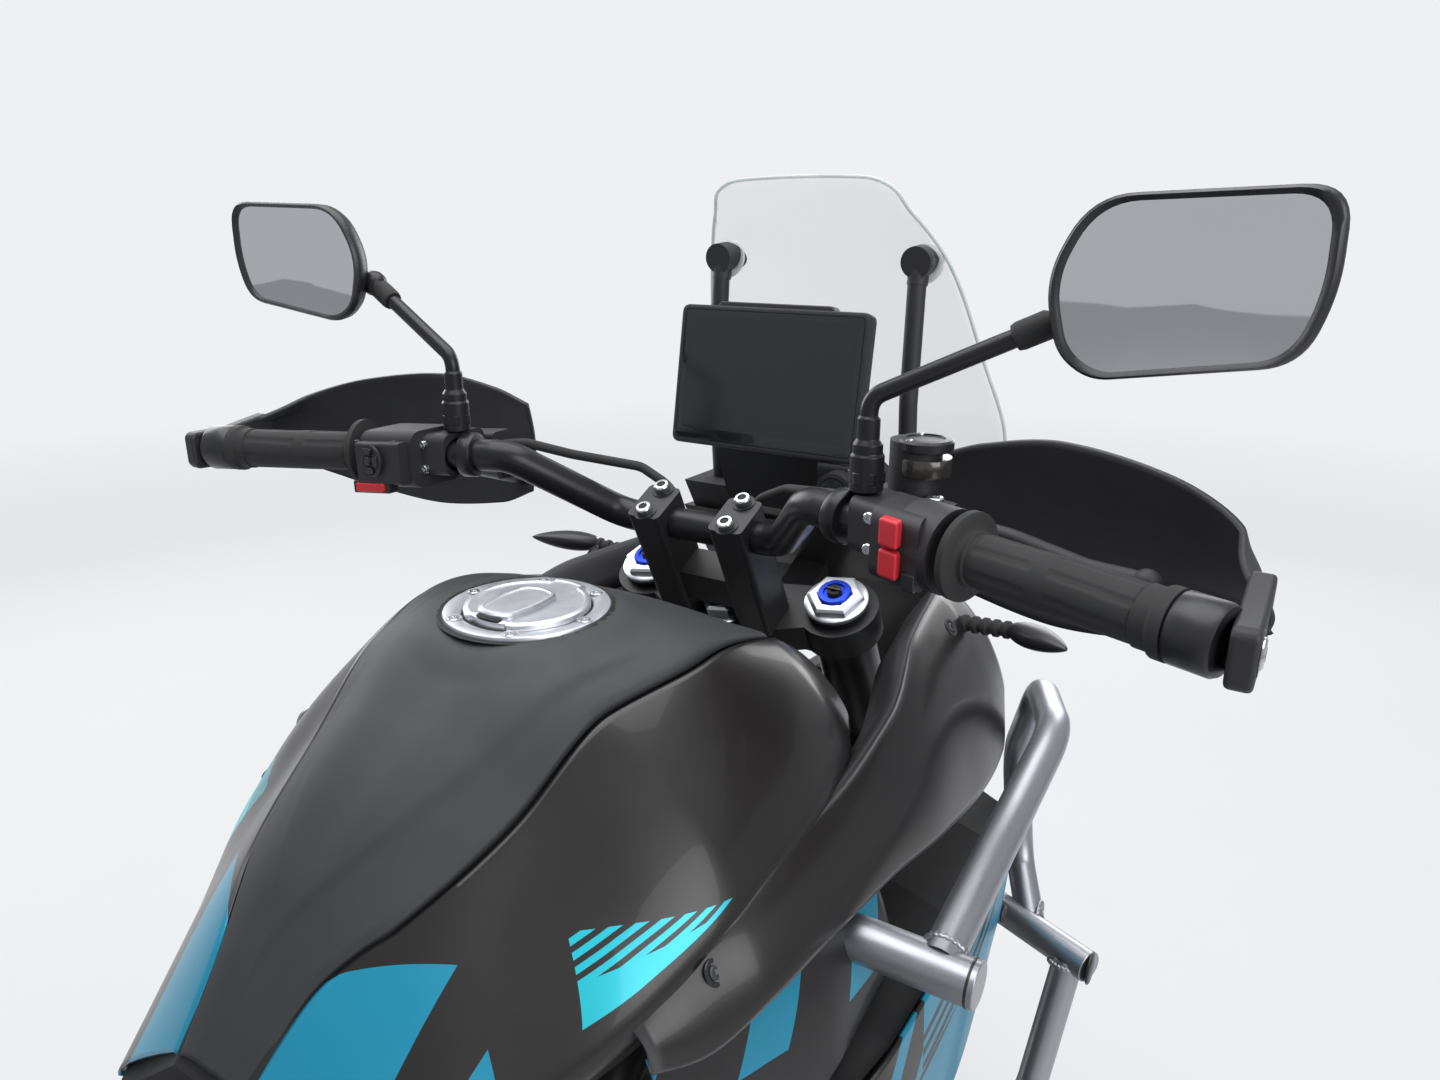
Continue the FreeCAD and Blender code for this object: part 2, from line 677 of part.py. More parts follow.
def caliper(axle, discY, outward, angle, discRadius, span, reach):
    """A fixed caliper over the disc rim, turned about the axle to its place."""
    low = discRadius - reach + 14
    high = discRadius + 14
    width = 20.0
    body = closedWire([vec(low, 0, -span / 2), vec(high - 8, 0, -span / 2 + 6), vec(high, 0, -span / 4),
                       vec(high, 0, span / 4), vec(high - 8, 0, span / 2 - 6), vec(low, 0, span / 2)])
    solid = Part.Face(body).extrude(vec(0, 2 * width, 0))
    solid.translate(vec(0, discY - width, 0))
    slot = block(vec(low - 1, discY - 3.4, -span), vec(discRadius + 5, discY + 3.4, span))
    solid = solid.cut(slot)
    window = block(vec(discRadius - 30, discY - 11, -18), vec(high + 1, discY + 11, 18))
    solid = solid.cut(window)
    solid = turned(solid, vec(0, 0, 0), vec(0, -1, 0), angle)
    solid.translate(vec(axle.x, 0, axle.z))
    return solid


frontCalipers = []
for side in (1, -1):
    body = caliper(frontAxle, side * size.front_disc_offset, side, 172, size.front_disc_radius, 112, 60)
    frontCalipers.append(body)
feature("front_calipers", Part.makeCompound(frontCalipers))


# Front mudguard, low over the tyre, and the guards of the fork's slippers

def mudguard(innerRadius, halfWidth, startAngle, sweep):
    profile = [(innerRadius - 34, -halfWidth), (innerRadius - 6, -halfWidth), (innerRadius + 4, -halfWidth * 0.5),
               (innerRadius + 6, 0), (innerRadius + 4, halfWidth * 0.5), (innerRadius - 6, halfWidth),
               (innerRadius - 34, halfWidth), (innerRadius - 34, halfWidth - 3.5), (innerRadius - 8, halfWidth - 3.5),
               (innerRadius, halfWidth * 0.47), (innerRadius + 2.4, 0), (innerRadius, -halfWidth * 0.47),
               (innerRadius - 8, 3.5 - halfWidth), (innerRadius - 34, 3.5 - halfWidth)]
    face = Part.Face(closedWire([vec(r, y, 0) for r, y in profile]))
    shell = face.revolve(vec(0, 0, 0), vec(0, -1, 0), sweep)
    return turned(shell, vec(0, 0, 0), vec(0, -1, 0), startAngle)


guardRing = mudguard(size.front_tyre_radius + 14, 60, 38, 112)
guardRing.translate(frontAxle)
stays = []
for side in (1, -1):
    stays.append(steerPrism([(forkLead - 4, side * 58), (forkLead + 22, side * 58),
                             (forkLead + 22, side * 84), (forkLead - 4, side * 84)],
                            axleLevel + 168, axleLevel + 214))
guardStays = merged([guardRing, *stays])
stanchionRoom = [rod(forkPoint(side, axleLevel + 50), forkPoint(side, axleLevel + 240),
                     33 + size.seat_gap) for side in (1, -1)]
feature("front_mudguard", Part.makeCompound([guardStays.cut(stanchionRoom), *forkGuards]))


# Handlebar and what it carries

barCentre = vec(343, 0, size.bar_height)
barRise = vec(262, 150, 1171)
barEnd = vec(168, size.bar_half_width - 8, size.bar_end_height)
barSlope = (barEnd - barRise).normalize()


def alongBar(side, distance):
    """A point on the bar's straight end, measured inwards from its tip."""
    point = barEnd - barSlope * distance
    return vec(point.x, side * point.y, point.z)


def mirroredPoint(point):
    return vec(point.x, -point.y, point.z)


barPath = [alongBar(1, 262), barRise, vec(barCentre.x, 84, barCentre.z),
           vec(barCentre.x, -84, barCentre.z), mirroredPoint(barRise), alongBar(-1, 262)]
handlebar = [tube(barPath, size.bar_radius, 34)]
for side in (1, -1):
    handlebar.append(cone(alongBar(side, 262), alongBar(side, 222), size.bar_radius, size.bar_end_radius))
    handlebar.append(rod(alongBar(side, 222), alongBar(side, 0), size.bar_end_radius))
feature("handlebar", merged(handlebar))

clampLevel = (barCentre - steerFoot).dot(steerAxis)
clampAhead = (barCentre - steerFoot).dot(steerAhead)
risers = []
for side in (1, -1):
    inner, outer = side * 26, side * 60
    low, high = min(inner, outer), max(inner, outer)
    riser = steerPrism([(-21, low), (23, low), (23, high), (-21, high)], topFace, clampLevel + 22, 5)
    risers.append(riser)
barRoom = [rod(vec(barCentre.x, -80, barCentre.z), vec(barCentre.x, 80, barCentre.z),
               size.bar_radius + size.running_clearance)]
bridge = steerPrism([(-16, -40), (18, -40), (18, 40), (-16, 40)], topFace + 24, topFace + 58)
risers = merged([*risers, bridge]).cut(barRoom)
feature("top_clamp", Part.makeCompound([topClamp, risers]))

grips = []
barEnds = []
for side in (1, -1):
    body = rod(alongBar(side, 18 + size.grip_length), alongBar(side, 20), size.grip_radius)
    flange = rod(alongBar(side, 20 + size.grip_length), alongBar(side, 13 + size.grip_length), 25)
    lip = rod(alongBar(side, 30), alongBar(side, 20), size.grip_radius + 3)
    room = rod(alongBar(side, 24 + size.grip_length), alongBar(side, 4),
               size.bar_end_radius + size.running_clearance)
    grips.append(merged([body, flange, lip]).cut(room))
    weight = rod(alongBar(side, 19), alongBar(side, -8), 21)
    barEnds.append(weight.cut(rod(alongBar(side, 24), alongBar(side, -size.seat_gap),
                                  size.bar_end_radius + size.running_clearance)))
feature("grips", Part.makeCompound(grips))


def along(side, distance, up, ahead):
    """A point beside the bar's straight end: distance in from its tip, up and ahead of it."""
    return alongBar(side, distance) + vec(ahead, 0, up)


def barBox(side, farEnd, nearEnd, back, front, low, high):
    """A box that lies along the bar end, between two distances from its tip."""
    corners = []
    for ahead, up in ((back, low), (front, low), (front, high), (back, high)):
        corners.append(along(side, nearEnd, up, ahead))
    wire = closedWire(corners, min(front - back, high - low) * 0.22)
    return Part.Face(wire).extrude(alongBar(side, farEnd) - alongBar(side, nearEnd))


barRoomEnds = [rod(alongBar(side, 262), alongBar(side, -30), size.bar_end_radius + size.seat_gap)
               for side in (1, -1)]
barRoomMiddle = [cone(alongBar(side, 262), alongBar(side, 222), size.bar_radius + size.seat_gap,
                      size.bar_end_radius + size.seat_gap) for side in (1, -1)]
gripEnd = 22 + size.grip_length
leftCube = merged([barBox(1, gripEnd + 62, gripEnd + 12, -28, 30, -27.8, 24),
                   barBox(1, gripEnd + 58, gripEnd + 16, -38, -24, -22, 16)])
rightHouse = merged([rod(alongBar(-1, gripEnd + 30), alongBar(-1, gripEnd), 29),
                     barBox(-1, gripEnd + 56, gripEnd + 16, -30, 26, -26, 24)])
horn = barBox(1, gripEnd + 50, gripEnd + 18, -38, -28.3, -30, -20)
dpad = rod(along(1, gripEnd + 37, 0, -46), along(1, gripEnd + 37, 0, -38.3), 12)
kill = barBox(-1, gripEnd + 54, gripEnd + 36, -38, -30.3, -18, 22)
feature("switch_buttons", Part.makeCompound([horn, dpad, kill]))
switchgear = [leftCube.cut([barRoomEnds[0], barRoomMiddle[0], horn, dpad]),
              rightHouse.cut([barRoomEnds[1], barRoomMiddle[1], kill])]

levers = []
for side in (1, -1):
    perch = barBox(side, gripEnd + 84, gripEnd + 60, -16, 34, -18, 20)
    arm = barBox(side, gripEnd + 92, gripEnd + 22, 34, 62, -12, 14)
    room = rod(along(side, 262, 0, 0), along(side, 222, 0, 0), size.bar_radius + size.seat_gap)
    blade = tube([along(side, gripEnd + 30, -2, 64), along(side, gripEnd - 20, -4, 72),
                  along(side, gripEnd - 80, -4, 58), along(side, 40, -2, 60)], 6.5, 40)
    knob = Part.makeSphere(9, along(side, 40, -2, 60))
    pieces = [perch.cut([room, barRoomEnds[0 if side == 1 else 1], barRoomMiddle[0 if side == 1 else 1]]),
              arm, blade, knob]
    if side == -1:
        cup = rod(along(side, gripEnd + 62, 12, 58), along(side, gripEnd + 62, 52, 58), 19)
        pieces.append(cup)
    levers.append(merged(pieces))
feature("bar_controls", Part.makeCompound([*switchgear, *levers]))

# Clutch cable, switch wires and brake hoses, each held whole along its real route
hoseRadius = 4.5
wireRadius = 5.0
leverRoot = gripEnd + 92 + size.seat_gap


def barCable(side):
    """From a lever's perch over the bar's rise, then down the riser's front to the top clamp."""
    return tube([along(side, leverRoot, 1, 48), along(side, leverRoot + 22, 2, 50), vec(334, side * 138, 1160),
                 vec(362, side * 78, 1150), steer(31, side * 44, clampLevel + 14),
                 steer(31, side * 44, topFace + size.seat_gap)], hoseRadius, 22)


def longest(shape):
    return max(shape.Solids, key=lambda solid: solid.Volume)


wires = tube([along(1, 277, -18.5, 8), vec(282, 158, 1152), vec(358, 104, 1098),
              vec(358, 60 + size.seat_gap, 1091)], wireRadius, 22)
feature("control_cables", Part.makeCompound([longest(barCable(1).cut(levers[0])), wires]))
hoses = [longest(barCable(-1).cut(levers[1]))]
for side in (1, -1):
    hose = tube([steer(forkLead - 43, side * (forkSide - 4), lowLevel - size.seat_gap),
                 steer(forkLead - 43, side * (forkSide - 4), axleLevel + 262),
                 vec(636, side * (size.front_disc_offset + 12), 486),
                 vec(630, side * (size.front_disc_offset + 12), 400)], hoseRadius, 40)
    hoses.append(longest(hose.cut(frontCalipers[0 if side == 1 else 1])))
feature("brake_hoses", Part.makeCompound(hoses))

# Hand guards: a shell swept round the front of each grip, with its end plate and inner bracket
guardStations = [
    (207, 452, 1148, 1180), (262, 438, 1126, 1197), (306, 388, 1100, 1215),
    (336, 312, 1086, 1223), (352, 250, 1092, 1212), (358, 212, 1108, 1198),
]


def handGuard(side):
    wires = []
    count = len(guardStations)
    for index, (x, y, low, high) in enumerate(guardStations):
        before = guardStations[max(index - 1, 0)]
        after = guardStations[min(index + 1, count - 1)]
        tangent = vec(after[0] - before[0], after[1] - before[1], 0).normalize()
        normal = vec(-tangent.y, tangent.x, 0)
        if normal.x < 0:
            normal = normal * -1
        centre = vec(x, y, 0)
        middle = (low + high) / 2
        outline = [(0, low), (8, middle), (0, high), (-5, high - 2), (3, middle), (-5, low + 2)]
        wires.append(closedWire([centre + normal * a + vec(0, 0, z) for a, z in outline]))
    shell = loft(wires)
    shell = shell if side == 1 else mirrored(shell)
    endFrom = alongBar(side, -8.3)
    plate = closedWire([endFrom + vec(-20, 0, -16), endFrom + vec(-20, 0, 14),
                        vec(232, endFrom.y, 1186), vec(232, endFrom.y, 1140)], 6)
    plate = Part.Face(plate).extrude(vec(0, side * 15, 0))
    strut = rod(vec(358, side * 226, 1120), alongBar(side, 265) + vec(2, 0, -12), 7)
    ring = rod(alongBar(side, 272), alongBar(side, 258), 20)
    room = rod(alongBar(side, 300), alongBar(side, 200), size.bar_radius + size.seat_gap)
    return merged([shell, plate, merged([strut, ring]).cut(room)])


feature("hand_guards", Part.makeCompound([handGuard(1), handGuard(-1), *barEnds]))

# Mirrors
mirrorOutline = [(-54, 50), (76, 54), (78, 0), (66, -38), (-44, -56), (-66, -42), (-78, 2)]
mirrorRadii = [24, 18, 20, 20, 12, 12, 18]
mirrorCentre = vec(244, 386, 1335)
mirrorYaw = 9.0


def mirrorPlate(side, shrink, near, far):
    """A plate with the mirror's outline, turned a little towards the rider."""
    yaw = math.radians(mirrorYaw)
    across = vec(-math.sin(yaw), math.cos(yaw), 0)
    back = vec(-math.cos(yaw), -math.sin(yaw), 0)
    points = [mirrorCentre + across * (a * shrink) + vec(0, 0, b * shrink) - back * near
              for a, b in mirrorOutline]
    wire = closedWire(points, radii=[r * shrink for r in mirrorRadii])
    plate = Part.Face(wire).extrude(back * (near - far))
    return plate if side == 1 else mirrored(plate)


mirrors = []
glasses = []
for side in (1, -1):
    shell = mirrorPlate(side, 1.0, 12, -5)
    dome = mirrorPlate(side, 0.8, 24, 12)
    pocket = mirrorPlate(side, 0.93, -2, -5.1)
    post = vec(251, side * 200, 0)
    stalk = tube([vec(251, side * 200, 1192), vec(251, side * 200, 1256), vec(274, side * 320, 1314)],
                 7, 16)
    collar = rod(vec(251, side * 200, 1189.9), vec(251, side * 200, 1222), 12)
    joint = Part.makeSphere(11, vec(274, side * 320, 1314))
    mirrors.append(merged([shell.cut(pocket), dome, stalk, collar, joint]))
    glasses.append(mirrorPlate(side, 0.92, -2 - 0.01, -4.4))
feature("mirrors", Part.makeCompound(mirrors))
feature("mirror_glasses", Part.makeCompound(glasses))


# Main frame: head tube, spars, down tubes and pivot plates

sidePivot = vec(-118, 184, 296)
sideFolded = vec(-1, 0.06, -0.02).normalize()
sideDeployed = vec(0.2, 0.5, -0.84).normalize()
sideOut = sideDeployed.cross(sideFolded).normalize()
sideSwing = math.degrees(sideFolded.getAngle(sideDeployed))
sidePinRadius = 6.0
sideHeadHalf = 11.2
sideGap = sideHeadHalf + size.seat_gap
headTube = rod(steer(0, 0, lowFace + 2), steer(0, 0, topLevel - 2), size.head_tube_radius)
headBore = rod(steer(0, 0, lowFace), steer(0, 0, topLevel), size.stem_radius + size.running_clearance)
frameTubes = [headTube]
frameRadius = size.frame_tube_radius
plateInner = size.swingarm_inner + size.swingarm_wall + 3
plateOuter = plateInner + 11
for side in (1, -1):
    frameTubes.append(tube([vec(410, side * 16, 952), vec(322, side * 94, 922), vec(156, side * 128, 900),
                            vec(-60, side * 134, 762), vec(-150, side * 158, 610)], frameRadius, 60))
    frameTubes.append(tube([vec(440, side * 18, 892), vec(352, side * 72, 786), vec(338, side * 92, 600),
                            vec(290, side * 134, 440)], 15, 60))
    frameTubes.append(rod(vec(290, side * 118.3, 440), vec(290, side * 134, 440), 20))
    frameTubes.append(slab([(-196, 650), (-118, 650), (-96, 520), (-90, 330), (-90, 292), (-112, 266),
                            (-240, 276), (-226, 420), (-222, 560)], side * plateInner, side * plateOuter, 12))
crossTube = rod(vec(-186, -plateInner, 628), vec(-186, plateInner, 628), 14)
stayLevel = (lowFace + topLevel) / 2
fairingStay = steerPrism([(24, 19), (190, 19), (190, -19), (24, -19)], stayLevel - 20, stayLevel + 20)
stayRoom = steerPrism([(24, 19.3), (190.3, 19.3), (190.3, -19.3), (24, -19.3)], stayLevel - 20.3, stayLevel + 20.3)
standLug = rod(sidePivot - sideOut * 34, sidePivot - sideOut * sideGap, 14)
standPin = [rod(sidePivot - sideOut * 12, sidePivot + sideOut * 12, sidePinRadius),
            rod(sidePivot + sideOut * sideGap, sidePivot + sideOut * (sideGap + 4), 10)]
lockRooms = []
for side in (1, -1):
    for turn in (size.steering_lock, -size.steering_lock):
        leg = rod(forkPoint(side, size.fork_tube_end), forkPoint(side, tubeTop), size.fork_tube_radius + 5)
        lockRooms.append(turned(leg, steerFoot, steerAxis, turn))
mainFrame = merged([*frameTubes, crossTube, fairingStay, standLug, *standPin]).cut([headBore, *lockRooms])
pivotHoles = [rod(vec(pivot.x, -200, pivot.z), vec(pivot.x, 200, pivot.z),
                  size.pivot_bolt_radius + size.running_clearance),
              rod(vec(size.stand_pivot_x, -200, size.stand_pivot_z),
                  vec(size.stand_pivot_x, 200, size.stand_pivot_z), 8 + size.running_clearance)]
feature("main_frame", mainFrame.cut(pivotHoles))

subTubes = []
subRadius = size.subframe_tube_radius
for side in (1, -1):
    subTubes.append(tube([vec(-96, side * 112, 790), vec(-300, side * 112, 806), vec(-620, side * 100, 852),
                          vec(-880, side * 62, 884)], subRadius, 60))
    subTubes.append(rod(vec(-172, side * 128, 642), vec(-452, side * 106.4, 829), 10))
for x, z, half in ((-330, 810, 110), (-660, 858, 94), (-866, 882.5, 62)):
    subTubes.append(rod(vec(x, -half, z), vec(x, half, z), 10))
subframe = merged(subTubes).cut(rod(vec(-186, -plateInner, 628), vec(-186, plateInner, 628), 14 + size.seat_gap))
spars = [tube([vec(322, side * 94, 922), vec(156, side * 128, 900), vec(-60, side * 134, 762),
               vec(-150, side * 158, 610)], frameRadius + size.seat_gap, 60) for side in (1, -1)]
feature("subframe", subframe)


# Engine: crankcase, twin cylinder block, head and covers

crankcase = slab([(-128, 330), (-70, 284), (230, 284), (296, 330), (300, 430), (250, 520), (-20, 556),
                  (-124, 510)], -118, 118, 14)
sprocketRoom = [rod(outputShaft + lateral * 84, outputShaft + lateral * 140, 60),
                block(vec(-200, 84, size.pivot_z - 60), vec(size.output_shaft_x, 140, size.pivot_z + 60))]
crankcase = crankcase.cut(sprocketRoom)
cylinderFoot = vec(150, 0, 505)
leanAngle = 16


def cylinderBlock(front, back, half, low, high, radius):
    wire = closedWire([vec(front, -half, low), vec(front, half, low), vec(back, half, low),
                       vec(back, -half, low)], radius)
    shape = Part.Face(wire).extrude(vec(0, 0, high - low))
    shape = turned(shape, vec(0, 0, 0), lateral, leanAngle)
    shape.translate(cylinderFoot)
    return shape


barrel = [cylinderBlock(62, -62, 108, 0, 100, 16), cylinderBlock(70, -72, 116, 100, 172, 12),
          cylinderBlock(52, -58, 108, 172, 226, 18)]
for level in (22, 44, 66, 88):
    barrel.append(cylinderBlock(66, -66, 112, level, level + 6, 16))
clutchCover = [rod(vec(40, -118, 400), vec(40, -158, 400), 88), cone(vec(40, -158, 400), vec(40, -170, 400), 88, 74),
               rod(vec(196, -118, 380), vec(196, -146, 380), 62)]
alternatorCover = [rod(vec(176, 118, 392), vec(176, 152, 392), 80),
                   cone(vec(176, 152, 392), vec(176, 164, 392), 80, 64),
                   rod(vec(20, 118, 350), vec(20, 138, 350), 40)]
oilFilter = rod(vec(230, 118, 316), vec(230, 150, 316), 32)
sump = slab([(-60, 286), (-40, 268), (210, 268), (236, 286)], -76, 76, 0)
engine = merged([crankcase, *barrel, *clutchCover, *alternatorCover, oilFilter, sump])
downTubes = [tube([vec(440, side * 18, 892), vec(352, side * 72, 786), vec(338, side * 92, 600),
                   vec(290, side * 134, 440)], 15 + size.seat_gap, 60) for side in (1, -1)]
sprocketCover = slab([(-128, 384), (-52, 372), (-30, 430), (-52, 492), (-128, 484)], 120, 147, 14)
coverPosts = [rod(vec(-44, 118.3, z), vec(-44, 121, z), 7) for z in (398, 470)]
feature("engine", Part.makeCompound([engine.cut([*downTubes, *spars]), merged([sprocketCover, *coverPosts])]))


# Exhaust: two headers, a link pipe along the right and the silencer

pipe = size.header_radius
headers = []
for side in (1, -1):
    headers.append(tube([vec(257, side * 42, 616), vec(326, side * 42, 600), vec(334, side * 42, 520),
                         vec(334, side * 24 - 8, 400), vec(332, -20, 330)], pipe - 2, 30))
linkRoute = [vec(332, -18, 344), vec(324, -60, 292), vec(262, -140, 268), vec(40, -152, 264),
             vec(-48, -180, 312), vec(-86, -196, 440), vec(-184, -200, 500), vec(-330, -197, 544)]
linkPipe = tube(linkRoute, pipe, 34)
silencerStart = vec(-322, -196, 540)
silencerEnd = vec(-800, -226, 706)
axisOut = (silencerEnd - silencerStart).normalize()
silencerBody = [cone(silencerStart, silencerStart + axisOut * 60, pipe + 3, size.silencer_radius),
                rod(silencerStart + axisOut * 60, silencerEnd, size.silencer_radius),
                cone(silencerEnd, silencerEnd + axisOut * 26, size.silencer_radius, 38)]
outletHole = rod(silencerEnd - axisOut * 20, silencerEnd + axisOut * 40, 20)
silencer = merged(silencerBody).cut(outletHole)
feature("exhaust", merged([*headers, linkPipe, silencer]))


# Radiator, leaning along the fork, and the skid plate below the engine

radiator = block(vec(-14, -128, -118), vec(14, 128, 118))
sideTanks = [block(vec(-18, side * 128 if side == 1 else -150, -112), vec(18, 150 if side == 1 else -128, 112))
             for side in (1, -1)]
radiatorFins = []
for index in range(12):
    level = -104 + 208 * index / 11
    radiatorFins.append(block(vec(14, -126, level - 2), vec(17, 126, level + 2)))
radiator = merged([radiator, *sideTanks, *radiatorFins])
radiator = turned(radiator, vec(0, 0, 0), lateral, -15)
radiator.translate(vec(398, 0, 682))
radiatorFeet = [rod(vec(340, side * 78, 742), vec(372, side * 100, 742), 6) for side in (1, -1)]
feature("radiator", merged([radiator, *radiatorFeet]).cut(downTubes))

skidOutline = [(-90, 240), (318, 240), (392, 330), (392, 404), (387, 404), (387, 332), (316, 245.5), (-90, 245.5)]
skidPlate = slab(skidOutline, -126, 126)
skidSides = []
for side in (1, -1):
    skidSides.append(slab([(-90, 240), (318, 240), (392, 330), (392, 380), (340, 340), (250, 276), (-50, 260),
                           (-90, 252)], side * 124, side * 129))
skid = merged([skidPlate, *skidSides])
skidSlots = []
for index in range(5):
    x = 10 + 44 * index
    skidSlots.append(slab([(x, 230), (x + 18, 230), (x + 18, 250), (x, 250)], -70, 70))
linkRoom = tube(linkRoute, pipe + 2, 34)
feature("skid_plate", skid.cut([*skidSlots, linkRoom]))


# Swingarm, shock absorber and rear axle

swingInner = size.swingarm_inner
swingOuter = swingInner + size.swingarm_wall
armOutline = [(pivot.x + 34, pivot.z), (pivot.x + 22, pivot.z + 34), (pivot.x - 120, pivot.z + 34),
              (rearAxle.x + 60, rearAxle.z + 34), (rearAxle.x - 44, rearAxle.z + 26),
              (rearAxle.x - 50, rearAxle.z - 20), (rearAxle.x + 60, rearAxle.z - 30),
              (pivot.x - 120, pivot.z - 38), (pivot.x + 22, pivot.z - 34)]
arms = [slab(armOutline, side * swingInner, side * swingOuter, 14) for side in (1, -1)]
pivotTube = rod(vec(pivot.x, -swingInner, pivot.z), vec(pivot.x, swingInner, pivot.z), 26)
braceOutline = [(pivot.x - 150, 392), (pivot.x - 150, 450), (pivot.x - 204, 450), (pivot.x - 212, 400)]
brace = slab(braceOutline, -swingInner, swingInner, 8)
bridgeHigh = slab([(pivot.x - 124, 444), (pivot.x - 160, 486), (pivot.x - 196, 486), (pivot.x - 204, 444)],
                  -swingInner, 84, 4)
swingCut = [rod(vec(pivot.x, -170, pivot.z), vec(pivot.x, 170, pivot.z),
                size.pivot_bolt_radius + size.running_clearance),
            rod(rearAxle + lateral * -170, rearAxle + lateral * 170,
                size.rear_axle_radius + size.running_clearance)]
swingarm = merged([*arms, pivotTube, brace, bridgeHigh]).cut(swingCut)
feature("swingarm", swingarm)
pivotBolt = merged([rod(vec(pivot.x, -plateInner - 16, pivot.z), vec(pivot.x, plateInner + 16, pivot.z),
                        size.pivot_bolt_radius),
                    rod(vec(pivot.x, plateInner + 11.3, pivot.z), vec(pivot.x, plateInner + 22, pivot.z), 19),
                    rod(vec(pivot.x, -plateInner - 22, pivot.z), vec(pivot.x, -plateInner - 11.3, pivot.z), 19)])

rearAxlePieces = [rod(rearAxle + lateral * -(swingOuter + 12), rearAxle + lateral * (swingOuter + 12),
                      size.rear_axle_radius),
                  rod(rearAxle + lateral * (sprocketInner + size.seat_gap),
                      rearAxle + lateral * (swingInner - size.seat_gap), 22),
                  rod(rearAxle + lateral * -(swingInner - size.seat_gap),
                      rearAxle + lateral * -(rearDiscInner + size.seat_gap), 22)]
for side in (1, -1):
    rearAxlePieces.append(rod(rearAxle + lateral * (side * (swingOuter + size.seat_gap)),
                              rearAxle + lateral * (side * (swingOuter + 14)), 20))

shockEye = vec(-186, 0, 628)
shockFoot = vec(-340, 0, 502)
shockLine = (shockFoot - shockEye).normalize()
shockTop = shockEye + shockLine * (14 + size.seat_gap)
shockLength = (shockFoot - shockTop).Length
springRadius = 33
springWire = 5.5
springStart = 34.0
springTurns = 6
springPitch = (shockLength - 66) / springTurns
coilProfile = [(16, 0)]
for turn in range(springTurns):
    low = turn * springPitch
    coilProfile += [(springRadius - springWire, low), (springRadius + springWire, low + springPitch * 0.3),
                    (springRadius + springWire, low + springPitch * 0.5), (springRadius - springWire, low + springPitch * 0.8)]
coilProfile.append((16, springTurns * springPitch))
coilFace = Part.Face(closedWire([vec(r, 0, z) for r, z in coilProfile]))
spring = coilFace.revolve(vec(0, 0, 0), vec(0, 0, 1), 360)
spring.Placement = FreeCAD.Placement(shockTop + shockLine * springStart,
                                     FreeCAD.Rotation(vec(0, 0, 1), shockLine))
shockBody = merged([rod(shockTop, shockTop + shockLine * (shockLength * 0.55), 22),
                    rod(shockTop + shockLine * (shockLength * 0.5), shockFoot, 9),
                    rod(shockTop + shockLine * (springStart - 14), shockTop + shockLine * (springStart - 6), 40),
                    rod(shockFoot - shockLine * 26, shockFoot - shockLine * 18, 38),
                    rod(shockFoot - shockLine * 10, shockFoot, 20), spring])
feature("rear_shock", shockBody)

rearCaliper = caliper(rearAxle, -size.rear_disc_offset, -1, 62, size.rear_disc_radius, 84, 56)
feature("rear_caliper", rearCaliper)


# Fuel tank: a lofted body, its spine cover and its side panels

tankWidthRef = 212.0
tankTopRef = 1106.0
# x, crown height, crown half width, crest (half, height), widest place (half, height), floor height
tankStations = [
    (298, 1040, 78, (126, 1026), (166, 994), 966), (226, 1078, 84, (142, 1060), (198, 996), 940),
    (150, 1100, 80, (136, 1073), (208, 990), 927), (70, 1094, 72, (127, 1051), (204, 976), 920),
    (0, 1060, 54, (110, 1005), (184, 946), 900), (-80, 1002, 40, (94, 950), (142, 900), 870),
    (-160, 914, 28, (76, 876), (104, 858), 836),
]


def tankSection(station, grow, rounded):
    """The tank's outline at one station: crown, crest of the shoulder, widest place and floor."""
    x, top, flat, crest, widest, floor = station
    widen = size.tank_half_width / tankWidthRef
    lift = size.tank_top - tankTopRef
    half = [(flat, top + lift + grow), (crest[0] * widen + grow, crest[1] + lift + grow),
            (widest[0] * widen + grow, widest[1]), (widest[0] * widen * 0.93 + grow, floor)]
    outline = half + [(-y, z) for y, z in reversed(half)]
    corners = [16, 30, 14, 0] if rounded else [0, 0, 0, 0]
    return closedWire([vec(x, y, z) for y, z in outline], radii=corners + corners[::-1])


def tankBody(grow, rounded=False):
    return loft([tankSection(station, grow, rounded) for station in tankStations])


tankSolid = tankBody(0.0)
capRoom = rod(vec(size.fuel_cap_x, 0, 1040), vec(size.fuel_cap_x, 0, 1200), size.fuel_cap_radius + 2)
sparRooms = [tube([vec(410, side * 16, 952), vec(322, side * 94, 922), vec(156, side * 128, 900),
                   vec(-60, side * 134, 762), vec(-150, side * 158, 610)], frameRadius + 2, 60)
             for side in (1, -1)]
tankInner = tankSolid.cut([rod(vec(size.fuel_cap_x, 0, 1064), vec(size.fuel_cap_x, 0, 1200),
                               size.fuel_cap_radius + 2),
                           rod(vec(size.fuel_cap_x, 0, 1010), vec(size.fuel_cap_x, 0, 1070),
                               size.filler_radius + 5), *sparRooms])
feature("fuel_tank", tankInner)

